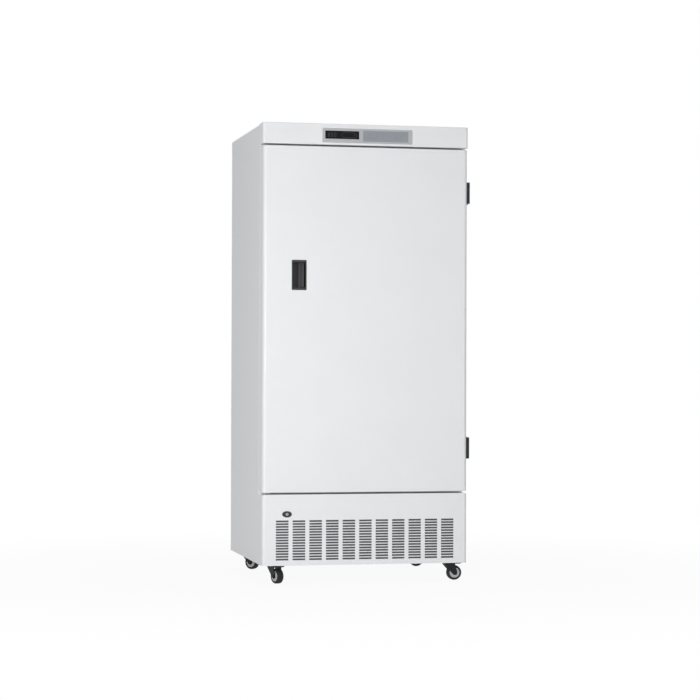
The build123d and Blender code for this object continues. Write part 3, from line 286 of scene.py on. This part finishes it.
@dataclass(frozen=True)
class Softbox:
    """Square studio lamp that faces a point.

    Attributes:
        name: Name of the lamp.
        place: Where the lamp stands, in metres.
        aim: The point that it faces.
        edge: Length of its sides in metres.
        power: Its light in watts.
    """

    name: str
    place: tuple[float, float, float]
    aim: tuple[float, float, float]
    edge: float
    power: float

    def build(self) -> None:
        """Hangs the lamp in the scene."""
        lamp = bpy.data.lights.new(self.name, "AREA")
        lamp.shape = "SQUARE"
        lamp.size = self.edge
        lamp.energy = self.power
        holder = bpy.data.objects.new(self.name, lamp)
        holder.visible_camera = False
        holder.location = self.place
        sight = Vector(self.aim) - Vector(self.place)
        holder.rotation_euler = sight.to_track_quat("-Z", "Y").to_euler()
        bpy.context.scene.collection.objects.link(holder)


@dataclass
class Studio:
    """Floor, surround, lamps and camera.

    Attributes:
        floor_edge: Length of the floor's sides in metres.
        glow: How much of the floor's look comes from its own white, under the object.
        shadow_reach: Distance from the object at which the floor starts to turn plain white.
        ambient: Light of the surround on the object.
        sky: Colour of that light.
        floor_shade: How much light the floor throws back.
        lens_px: Focal length in pixels of the photograph.
        frame_px: Width of the photograph in pixels.
        sensor_mm: Width of the camera's sensor.
        camera_place: Where the camera stands, in metres.
        yaw: Turn of the sight to the right of +Y, in degrees.
        pitch: Rise of the sight above level, in degrees.
        roll: Tilt of the camera about its sight, in degrees.
        lamps: The studio's lamps.
    """

    floor_edge: float = 60.0
    glow: float = 0.93
    shadow_reach: float = 0.7
    ambient: float = 0.27
    sky: Colour = (0.97, 0.985, 1.0)
    floor_shade: float = 0.86
    lens_px: float = 2115.0
    frame_px: float = 700.0
    sensor_mm: float = 36.0
    camera_place: tuple[float, float, float] = (-1.5742, -7.2013, 0.7121)
    yaw: float = 12.4527
    pitch: float = 0.5249
    roll: float = 0.1743
    lamps: tuple[Softbox, ...] = (
        Softbox("Key", (-1.6, -3.7, 0.8), (0.0, 0.0, 0.5), 1.4, 79.0),
        Softbox("Fill", (1.6, -4.4, 1.4), (0.0, 0.0, 0.7), 2.4, 6.0),
        Softbox("Top", (0.0, 0.2, 4.6), (0.0, 0.0, 0.0), 3.0, 20.0),
        Softbox("Rear", (1.4, 4.2, 2.2), (0.0, 0.0, 0.8), 2.4, 44.0),
    )

    def seen_share(self, tree: bpy.types.NodeTree) -> Any:
        """Adds nodes that tell what the eye, a mirror or glass sees from what only lights.

        Args:
            tree: Node tree that takes the nodes.

        Returns:
            The socket that is 1 for a ray that is seen, and 0 for others.
        """
        path = tree.nodes.new("ShaderNodeLightPath")
        seen = path.outputs["Is Camera Ray"]
        for name in ("Is Glossy Ray", "Is Transmission Ray"):
            larger = tree.nodes.new("ShaderNodeMath")
            larger.operation = "MAXIMUM"
            tree.links.new(seen, larger.inputs[0])
            tree.links.new(path.outputs[name], larger.inputs[1])
            seen = larger.outputs["Value"]
        return seen

    def build_surround(self) -> None:
        """Sets the world: plain white to look at, dimmer as a light."""
        world = bpy.data.worlds.new("Surround")
        bpy.context.scene.world = world
        world.use_nodes = True
        tree = world.node_tree
        tree.nodes.clear()
        lit = tree.nodes.new("ShaderNodeBackground")
        lit.inputs["Color"].default_value = (*self.sky, 1.0)
        lit.inputs["Strength"].default_value = self.ambient
        white = tree.nodes.new("ShaderNodeBackground")
        white.inputs["Color"].default_value = (1.0, 1.0, 1.0, 1.0)
        mix = tree.nodes.new("ShaderNodeMixShader")
        tree.links.new(self.seen_share(tree), mix.inputs["Fac"])
        tree.links.new(lit.outputs["Background"], mix.inputs[1])
        tree.links.new(white.outputs["Background"], mix.inputs[2])
        out = tree.nodes.new("ShaderNodeOutputWorld")
        tree.links.new(mix.outputs["Shader"], out.inputs["Surface"])

    def build_floor(self) -> None:
        """Lays the white floor, which keeps a soft shadow."""
        shape = bmesh.new()
        bmesh.ops.create_grid(shape, x_segments=1, y_segments=1, size=self.floor_edge / 2)
        mesh = bpy.data.meshes.new("Floor")
        shape.to_mesh(mesh)
        shape.free()
        floor = bpy.data.objects.new("Floor", mesh)
        bpy.context.scene.collection.objects.link(floor)
        material = bpy.data.materials.new("Floor_White")
        material.use_nodes = True
        tree = material.node_tree
        tree.nodes.clear()
        matte = tree.nodes.new("ShaderNodeBsdfDiffuse")
        matte.inputs["Color"].default_value = (self.floor_shade, self.floor_shade, self.floor_shade, 1.0)
        white = tree.nodes.new("ShaderNodeEmission")
        mix = tree.nodes.new("ShaderNodeMixShader")
        place = tree.nodes.new("ShaderNodeTexCoord")
        reach = tree.nodes.new("ShaderNodeVectorMath")
        reach.operation = "LENGTH"
        tree.links.new(place.outputs["Object"], reach.inputs[0])
        fade = tree.nodes.new("ShaderNodeMapRange")
        fade.inputs["From Min"].default_value = self.shadow_reach
        fade.inputs["From Max"].default_value = 3 * self.shadow_reach
        fade.inputs["To Min"].default_value = self.glow
        fade.inputs["To Max"].default_value = 1.0
        tree.links.new(reach.outputs["Value"], fade.inputs["Value"])
        share = tree.nodes.new("ShaderNodeMath")
        share.operation = "MULTIPLY"
        tree.links.new(self.seen_share(tree), share.inputs[0])
        tree.links.new(fade.outputs["Result"], share.inputs[1])
        tree.links.new(share.outputs["Value"], mix.inputs["Fac"])
        tree.links.new(matte.outputs["BSDF"], mix.inputs[1])
        tree.links.new(white.outputs["Emission"], mix.inputs[2])
        out = tree.nodes.new("ShaderNodeOutputMaterial")
        tree.links.new(mix.outputs["Shader"], out.inputs["Surface"])
        mesh.materials.append(material)

    def build_camera(self) -> None:
        """Sets the camera where the photograph was taken from."""
        yaw, pitch, roll = radians(self.yaw), radians(self.pitch), radians(self.roll)
        ahead = Vector((sin(yaw) * cos(pitch), cos(yaw) * cos(pitch), sin(pitch)))
        level = Vector((cos(yaw), -sin(yaw), 0.0))
        upright = level.cross(ahead)
        across = level * cos(roll) + upright * sin(roll)
        upward = upright * cos(roll) - level * sin(roll)
        turn = Matrix((across, upward, -ahead)).transposed()
        data = bpy.data.cameras.new("Camera")
        data.sensor_width = self.sensor_mm
        data.lens = self.lens_px / self.frame_px * self.sensor_mm
        data.clip_end = 200.0
        camera = bpy.data.objects.new("Camera", data)
        camera.matrix_world = Matrix.Translation(self.camera_place) @ turn.to_4x4()
        bpy.context.scene.collection.objects.link(camera)
        bpy.context.scene.camera = camera

    def build(self) -> None:
        """Sets up the whole studio."""
        bpy.context.scene.view_settings.view_transform = "Standard"
        self.build_surround()
        self.build_floor()
        self.build_camera()
        for lamp in self.lamps:
            lamp.build()
        LOG.info("studio: %d lamps", len(self.lamps))


def add_block(shape: BMesh, low: Point, high: Point, edge: float = 0.0, steps: int = 2) -> None:
    """Adds a block between two corners.

    Args:
        shape: Mesh that takes the block.
        low: Lowest corner in metres.
        high: Highest corner in metres.
        edge: Radius of its rounded edges.
        steps: Segments in each rounded edge.
    """
    low, high = Vector(low), Vector(high)
    place = Matrix.Translation((low + high) / 2) @ Matrix.Diagonal((high - low).to_4d())
    made = bmesh.ops.create_cube(shape, size=1.0, matrix=place)
    if edge:
        rims = {rim for corner in made["verts"] for rim in corner.link_edges}
        bmesh.ops.bevel(
            shape, geom=list(rims), offset=edge, segments=steps, profile=0.5, affect="EDGES",
            material=-1, clamp_overlap=True,
        )


def lathe(
    shape: BMesh,
    profile: Iterable[tuple[float, float]],
    centre: Vector,
    axis: Vector,
    sides: int = 32,
    closed: bool = False,
) -> None:
    """Turns a profile round an axis.

    Args:
        shape: Mesh that takes the turned form.
        profile: Points of radius and height along the axis, in metres.
        centre: Where the profile's zero height lies on the axis.
        axis: Direction of the axis.
        sides: Facets round the axis.
        closed: Whether the profile's last point joins its first.
    """
    points = [shape.verts.new((radius, 0.0, height)) for radius, height in profile]
    edges = [shape.edges.new(pair) for pair in zip(points, points[1:])]
    if closed:
        edges.append(shape.edges.new((points[-1], points[0])))
    before = set(shape.verts) - set(points)
    bmesh.ops.spin(
        shape, geom=points + edges, cent=(0, 0, 0), axis=(0, 0, 1), angle=tau, steps=sides,
        use_merge=True,
    )
    made = [corner for corner in shape.verts if corner not in before]
    bmesh.ops.remove_doubles(shape, verts=made, dist=1e-7)
    made = [corner for corner in shape.verts if corner not in before]
    turn = Vector((0, 0, 1)).rotation_difference(Vector(axis)).to_matrix().to_4x4()
    bmesh.ops.transform(shape, matrix=Matrix.Translation(centre) @ turn, verts=made)


def sweep_ring(
    shape: BMesh,
    section: list[tuple[float, float]],
    half: float,
    low: float,
    high: float,
    corner: float,
) -> None:
    """Runs a section round an upright rounded rectangle.

    Args:
        shape: Mesh that takes the ring.
        section: Closed outline as points outward from the path and along +Y.
        half: Half of the path's width.
        low: Height of the path's lower run.
        high: Height of the path's upper run.
        corner: Radius of the path's corners.
    """
    points = [shape.verts.new((corner - half, deep, low - out)) for out, deep in section]
    rims = [shape.edges.new(pair) for pair in zip(points, points[1:] + points[:1])]
    wide, tall = 2 * (half - corner), high - low - 2 * corner
    inner_x, inner_low, inner_high = half - corner, low + corner, high - corner
    runs = (
        ((wide, 0, 0), (inner_x, 0, inner_low)),
        ((0, 0, tall), (inner_x, 0, inner_high)),
        ((-wide, 0, 0), (-inner_x, 0, inner_high)),
        ((0, 0, -tall), (-inner_x, 0, inner_low)),
    )
    for along, pivot in runs:
        grown = bmesh.ops.extrude_edge_only(shape, edges=rims)["geom"]
        ends = [item for item in grown if isinstance(item, bmesh.types.BMVert)]
        bmesh.ops.translate(shape, vec=along, verts=ends)
        rims = [item for item in grown if isinstance(item, bmesh.types.BMEdge)]
        turned = bmesh.ops.spin(
            shape, geom=rims, cent=pivot, axis=(0, -1, 0), angle=pi / 2, steps=8
        )["geom_last"]
        rims = [item for item in turned if isinstance(item, bmesh.types.BMEdge)]
    bmesh.ops.remove_doubles(shape, verts=shape.verts[:], dist=WELD)


class Maker:
    """Finishes meshes as pieces of the freezer and hands out their materials."""

    SMOOTH_BELOW = radians(32)

    def __init__(self, wardrobe: Wardrobe) -> None:
        """Keeps the materials and counts the pieces."""
        self.wardrobe = wardrobe
        self.count = 0

    def shade(self, shape: BMesh) -> None:
        """Shades a mesh smooth, apart from its sharp edges."""
        for face in shape.faces:
            face.smooth = True
        for rim in shape.edges:
            rim.smooth = rim.is_manifold and rim.calc_face_angle() < self.SMOOTH_BELOW

    def finish(
        self, shape: BMesh, name: str, body: str, slot: str, nodes: tuple[str, ...] = (), look: str = ""
    ) -> bpy.types.Object:
        """Turns a mesh into a piece that rides on a body.

        Args:
            shape: The piece's mesh; it is used up.
            name: Name of the piece.
            body: Body that carries it.
            slot: Material slot of its finish.
            nodes: Nodes of the frame that it stands for.
            look: Finish to wear instead of the slot's own.

        Returns:
            The piece.
        """
        bmesh.ops.recalc_face_normals(shape, faces=shape.faces[:])
        self.shade(shape)
        mesh = bpy.data.meshes.new(name)
        shape.to_mesh(mesh)
        shape.free()
        piece = bpy.data.objects.new(name, mesh)
        bpy.context.scene.collection.objects.link(piece)
        self.wardrobe.dress(piece, look or slot)
        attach(piece, body)
        if nodes:
            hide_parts(*nodes)
        self.count += 1
        LOG.info("%s rides on %s: %d faces", name, body, len(mesh.polygons))
        return piece

    def smooth_node(self, node: str, body: str, slot: str) -> bpy.types.Object:
        """Puts a welded, smoothly shaded copy in place of a node with rounded edges.

        Args:
            node: Node of the frame.
            body: Body that the node belongs to.
            slot: Material slot of its finish.

        Returns:
            The copy.
        """
        shape = bmesh.new()
        shape.from_mesh(frame["nodes"][node].data)
        bmesh.ops.remove_doubles(shape, verts=shape.verts[:], dist=WELD)
        self.shade(shape)
        mesh = bpy.data.meshes.new(f"{node}_skin")
        shape.to_mesh(mesh)
        shape.free()
        piece = bpy.data.objects.new(f"{node}_skin", mesh)
        bpy.context.scene.collection.objects.link(piece)
        self.wardrobe.dress(piece, slot)
        weigh = piece.modifiers.new("Even_Shading", "WEIGHTED_NORMAL")
        weigh.keep_sharp = True
        weigh.weight = 100
        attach(piece, body)
        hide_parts(node)
        self.count += 1
        return piece


@dataclass
class Skins:
    """Smoothly shaded copies of the nodes whose rounded edges show."""

    names: tuple[str, ...] = (
        "outer_shell", "header_cover", "grille_panel", "door_skin", "door_liner", "inner_liner",
        "panel_bezel", "handle_pocket",
        "hinge_upper_door", "hinge_lower_door", "hinge_upper_frame", "hinge_lower_frame",
        "switch_body", "caster_plates", "fork_front_left", "fork_front_right", "fork_rear_left",
        "fork_rear_right", "brake_pedal_front_left", "brake_pedal_front_right", "evaporator",
        "temperature_sensor", "discharge_pipe", "fan_blades", "fan_motor", "fan_shroud", "drip_tray",
        "panel_screws", "compressor_feet", "power_inlet",
    )

    def build(self, maker: Maker) -> None:
        """Makes every copy."""
        record = frame["record"]
        slots = {entry["node"]: entry["material_slot"] for entry in record["subparts"]}
        for body, members in record["behaviour"]["bodies"].items():
            for node in members:
                if node in self.names:
                    maker.smooth_node(node, body, slots[node])
        LOG.info("skins: %d", len(self.names))


@dataclass
class DoorTrim:
    """Soft seal and grip of the door.

    Attributes:
        half: Half of the seal's outer width.
        low: Lower edge of the seal.
        high: Upper edge of the seal.
        width: Width of the seal.
        corner: Radius of the seal's outer corners.
        back_y: Where the seal's foot sits in the door.
        face_y: Where the seal meets the cabinet.
        rib_rise: How far the grip's ribs stand out from its bar.
        rib_share: Width of a rib as a share of the bar's.
        rib_depth: Depth of a rib as a share of the bar's.
        rib_end: Distance from a rib's ends to the bar's.
        rib_round: Radius of a rib's edges.
        bar_round: Radius of the bar's edges.
    """

    half: float = 0.342
    low: float = 0.311
    high: float = 1.446
    width: float = 0.018
    corner: float = 0.010
    back_y: float = -0.262
    face_y: float = -0.2553
    rib_rise: float = 0.0022
    rib_share: float = 0.36
    rib_depth: float = 0.6
    rib_end: float = 0.0015
    rib_round: float = 0.0017
    bar_round: float = 0.0008

    def seal_section(self) -> list[tuple[float, float]]:
        """Outline of the seal: foot in the door, bellows, and the bulb that holds the magnet."""
        side = self.width / 2
        foot, face = self.back_y, self.face_y
        return [
            (-side * 0.86, foot), (side * 0.86, foot), (side, foot + 0.0008), (side * 0.92, foot + 0.0018),
            (side * 0.50, foot + 0.0022), (side * 0.38, foot + 0.0030), (side * 0.62, foot + 0.0036),
            (side * 0.94, foot + 0.0044), (side * 0.98, face - 0.0010), (side * 0.86, face),
            (side * 0.10, face - 0.0001), (0, face - 0.0004), (-side * 0.10, face - 0.0001),
            (-side * 0.86, face), (-side * 0.98, face - 0.0010), (-side * 0.94, foot + 0.0044),
            (-side * 0.62, foot + 0.0036), (-side * 0.38, foot + 0.0030), (-side * 0.50, foot + 0.0022),
            (-side * 0.92, foot + 0.0018), (-side, foot + 0.0008),
        ]

    def build_seal(self, maker: Maker) -> None:
        """Makes the seal in place of its plain ring."""
        inset = self.width / 2
        shape = bmesh.new()
        sweep_ring(
            shape, self.seal_section(), self.half - inset, self.low + inset, self.high - inset,
            max(self.corner, inset * 1.02),
        )
        maker.finish(shape, "door_seal", "door", "gasket_rubber", ("door_gasket",))

    def build_grip(self, maker: Maker) -> None:
        """Makes the grip bar: two rounded ribs with a groove between them."""
        low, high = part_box("handle_grip")
        shape = bmesh.new()
        width = high.x - low.x
        thick = high.y - low.y
        add_block(shape, (low.x, low.y + self.rib_rise, low.z), high, self.bar_round)
        for start in (0.0, 1 - self.rib_share):
            left = low.x + width * start
            add_block(
                shape, (left, low.y, low.z + self.rib_end),
                (left + width * self.rib_share, low.y + thick * self.rib_depth, high.z - self.rib_end),
                self.rib_round, 4,
            )
        maker.finish(shape, "handle_grip_bar", "door", "handle_plastic", ("handle_grip",))

    def build(self, maker: Maker) -> None:
        """Makes the door's soft and moulded trim."""
        self.build_seal(maker)
        self.build_grip(maker)


@dataclass
class HingeScrews:
    """Pan-head screws on the hinge leaves.

    Attributes:
        radius: Radius of a head.
        height: How far a head stands out.
        spread: Distance of the screws from the middle of the hinge.
        seat: Depth of the leaves' faces below the hinge's outermost point.
        levels: Heights of the two hinges' middles.
        door_depths: Places along Y of the screws on the door.
        frame_depths: Places along Y of the screws on the cabinet.
    """

    radius: float = 0.0042
    height: float = 0.0022
    spread: float = 0.024
    seat: float = 0.0075
    levels: tuple[float, float] = (0.448, 1.309)
    door_depths: tuple[float, float] = (-0.301, -0.281)
    frame_depths: tuple[float, float] = (-0.240, -0.222)

    def head(self, shape: BMesh, place: tuple[float, float, float]) -> None:
        """Adds one head with a round recess, facing +X."""
        rise, reach = self.height, self.radius
        profile = [
            (0, rise * 0.35), (reach * 0.30, rise * 0.35), (reach * 0.36, rise * 0.98),
            (reach * 0.62, rise * 0.92), (reach * 0.86, rise * 0.62), (reach, rise * 0.1), (reach, 0), (0, 0),
        ]
        lathe(shape, profile, Vector(place), Vector((1, 0, 0)), 20)

    def build(self, maker: Maker) -> None:
        """Sets four screws on each leaf."""
        leaves = (("door", "door", self.door_depths), ("cabinet", "frame", self.frame_depths))
        for body, side, depths in leaves:
            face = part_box(f"hinge_upper_{side}")[1].x - self.seat
            shape = bmesh.new()
            for level in self.levels:
                for depth in depths:
                    for shift in (-self.spread, self.spread):
                        self.head(shape, (face, depth, level + shift))
            maker.finish(shape, f"hinge_screws_{side}", body, "screw_steel")


@dataclass
class ControlPanel:
    """Unlit digits and lamp field of the control panel.

    Attributes:
        digits: How many digits there are.
        digit_height: Height of one digit.
        digit_width: Width of one digit.
        digit_gap: Distance between two digits.
        digit_inset: Distance from the window's left edge to the first digit.
        stroke: Width of a segment.
        rise: How far the segments and lines stand out.
        lens_inset: Distance from the window's right edge to the lamp field.
        lens_width: Width of the lamp field.
        lens_height: Height of the lamp field.
        lens_line: Width of the line round it.
    """

    digits: int = 3
    digit_height: float = 0.013
    digit_width: float = 0.0068
    digit_gap: float = 0.0038
    digit_inset: float = 0.010
    stroke: float = 0.0012
    rise: float = 0.00012
    lens_inset: float = 0.008
    lens_width: float = 0.052
    lens_height: float = 0.017
    lens_line: float = 0.0008

    def build_digits(self, maker: Maker) -> None:
        """Lays unlit seven-segment digits on the dark window."""
        low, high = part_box("display_window")
        middle = (low.z + high.z) / 2
        face = low.y
        shape = bmesh.new()
        half, wide, line = self.digit_height / 2, self.digit_width, self.stroke
        for index in range(self.digits):
            left = low.x + self.digit_inset + index * (wide + self.digit_gap)
            for level in (-half, 0.0, half):
                add_block(
                    shape, (left + line, face - self.rise, middle + level - line / 2),
                    (left + wide - line, face, middle + level + line / 2),
                )
            for side in (0.0, wide - line):
                for start, end in ((-half, 0.0), (0.0, half)):
                    add_block(
                        shape, (left + side, face - self.rise, middle + start + line),
                        (left + side + line, face, middle + end - line),
                    )
        maker.finish(shape, "display_segments", "cabinet", "display_plastic", look="unlit_segment")

    def build_lens(self, maker: Maker) -> None:
        """Frames the lamp field in the window's right half with a round-ended line, and adds its lamp."""
        low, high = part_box("display_window")
        middle = (low.z + high.z) / 2
        face = low.y
        right, left = high.x - self.lens_inset, high.x - self.lens_inset - self.lens_width
        radius, line = self.lens_height / 2, self.lens_line
        shape = bmesh.new()
        start = shape.verts.new((left + radius, face, middle - radius))
        inner = shape.verts.new((left + radius, face, middle - radius + line))
        front = [shape.verts.new((corner.co.x, face - self.rise, corner.co.z)) for corner in (start, inner)]
        loop = [start, inner, front[1], front[0]]
        rims = [shape.edges.new(pair) for pair in zip(loop, loop[1:] + loop[:1])]
        run = right - left - 2 * radius
        for along, pivot_x in ((run, right - radius), (-run, left + radius)):
            grown = bmesh.ops.extrude_edge_only(shape, edges=rims)["geom"]
            ends = [item for item in grown if isinstance(item, bmesh.types.BMVert)]
            bmesh.ops.translate(shape, vec=(along, 0, 0), verts=ends)
            rims = [item for item in grown if isinstance(item, bmesh.types.BMEdge)]
            turned = bmesh.ops.spin(
                shape, geom=rims, cent=(pivot_x, face, middle), axis=(0, -1, 0), angle=pi, steps=12
            )["geom_last"]
            rims = [item for item in turned if isinstance(item, bmesh.types.BMEdge)]
        bmesh.ops.remove_doubles(shape, verts=shape.verts[:], dist=WELD)
        lathe(
            shape, [(0, 0), (line * 2, 0), (line * 2, self.rise), (0, self.rise)],
            Vector((right - radius, face, middle)), Vector((0, -1, 0)), 16,
        )
        maker.finish(shape, "display_lens", "cabinet", "display_plastic", look="unlit_segment")

    def build(self, maker: Maker) -> None:
        """Makes the panel's fine detail."""
        self.build_digits(maker)
        self.build_lens(maker)


@dataclass
class DustFilter:
    """Woven filter in a frame behind the grille.

    Attributes:
        setback: Distance from the panel's inner face to the filter.
        thick: Thickness of the frame.
        border: Width of the frame's bars.
        margin: Distance from the frame to the panel's sides.
        foot: Distance from the frame's lower edge to the panel's.
        pitch: Distance between two ribs of the weave.
        rib: Width and thickness of a rib.
        panel_sheet: Thickness of the panel's sheet.
    """

    setback: float = 0.006
    thick: float = 0.004
    border: float = 0.006
    margin: float = 0.026
    foot: float = 0.018
    pitch: float = 0.006
    rib: float = 0.0012
    panel_sheet: float = 0.001

    def build(self, maker: Maker) -> None:
        """Makes the frame, the pad and the weave's ribs."""
        low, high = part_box("grille_panel")
        bottom, top = low.z + self.foot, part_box("switch_body")[0].z - self.border
        left, right = low.x + self.margin, high.x - self.margin
        front = low.y + self.panel_sheet + self.setback
        back = front + self.thick
        shape = bmesh.new()
        for start, end in (
            ((left, bottom), (right, bottom + self.border)), ((left, top - self.border), (right, top)),
            ((left, bottom), (left + self.border, top)), ((right - self.border, bottom), (right, top)),
        ):
            add_block(shape, (start[0], front, start[1]), (end[0], back, end[1]), self.rib / 3)
        add_block(shape, (left + self.border, back - self.rib, bottom), (right - self.border, back, top))
        for index in range(1, int((right - left) / self.pitch)):
            place = left + index * self.pitch
            add_block(
                shape, (place, back - 2 * self.rib, bottom), (place + self.rib, back - self.rib, top)
            )
        for index in range(1, int((top - bottom) / self.pitch)):
            level = bottom + index * self.pitch
            add_block(
                shape, (left, back - 2.4 * self.rib, level), (right, back - self.rib, level + self.rib)
            )
        maker.finish(shape, "dust_filter", "cabinet", "fan_plastic", look="filter_weave")


@dataclass
class Wheels:
    """Tyres and hubs of the casters, turned with their real profile.

    Attributes:
        radius: Radius of a wheel.
        half: Half of a wheel's width.
        hub: Radius where the tyre meets the hub.
        bore: Radius of the hub's bore.
        rim: Inner radius of the hub's rim.
        boss: Radius of the hub's boss.
        web_depth: How far the web lies below the wheel's sides.
        hub_depth: How far the hub lies below the tyre's sides.
        chamfer: Chamfer of the rim and the boss.
    """

    radius: float = 0.025
    half: float = 0.011
    hub: float = 0.017
    bore: float = 0.0031
    rim: float = 0.0135
    boss: float = 0.007
    web_depth: float = 0.003
    hub_depth: float = 0.0002
    chamfer: float = 0.0006

    def places(self) -> Iterable[tuple[str, Vector, Vector]]:
        """Gives each wheel's corner name, centre and axis from its joint."""
        for joint in frame["joints"]:
            if joint["name"].startswith("wheel_"):
                yield joint["name"][len("wheel_"):], Vector(joint["pos_m"]), Vector(joint["axis"])

    def build(self, maker: Maker) -> None:
        """Turns the tyre and the hub of each caster."""
        out, half, seat = self.radius, self.half, self.hub
        tyre = [
            (seat, -half), (out * 0.84, -half), (out * 0.93, -half * 0.93), (out * 0.98, -half * 0.76),
            (out, -half * 0.45), (out, half * 0.45), (out * 0.98, half * 0.76), (out * 0.93, half * 0.93),
            (out * 0.84, half), (seat, half),
        ]
        rim, boss, cut = self.rim, self.boss, self.chamfer
        draft, clear = 0.0004, 0.0001
        face = half - self.hub_depth
        web = half - self.web_depth
        hub = [
            (self.bore, -face), (boss - cut, -face), (boss, -face + cut), (boss + draft, -web),
            (rim - draft, -web), (rim, -face + cut), (rim + cut, -face), (seat - clear, -face),
            (seat - clear, face), (rim + cut, face), (rim, face - cut), (rim - draft, web),
            (boss + draft, web), (boss, face - cut), (boss - cut, face), (self.bore, face),
        ]
        for corner, centre, axis in self.places():
            body = f"wheel_{corner}"
            for name, slot, profile in (("tyre", "tread", tyre), ("hub", "hub_plastic", hub)):
                shape = bmesh.new()
                lathe(shape, profile, centre, axis, 56, closed=True)
                maker.finish(shape, f"{name}_{corner}_turned", body, slot, (f"{name}_{corner}",))


def main() -> None:
    """Dresses the freezer and sets up the studio."""
    logging.basicConfig(level=logging.INFO, format="%(name)s: %(message)s")
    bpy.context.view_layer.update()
    wardrobe = Wardrobe()
    LOG.info("nodes dressed: %d", wardrobe.dress_nodes())
    maker = Maker(wardrobe)
    for assembly in (Skins(), DoorTrim(), HingeScrews(), ControlPanel(), DustFilter(), Wheels()):
        assembly.build(maker)
    LOG.info("pieces made: %d", maker.count)
    Studio().build()


if __name__ == "__main__":
    main()
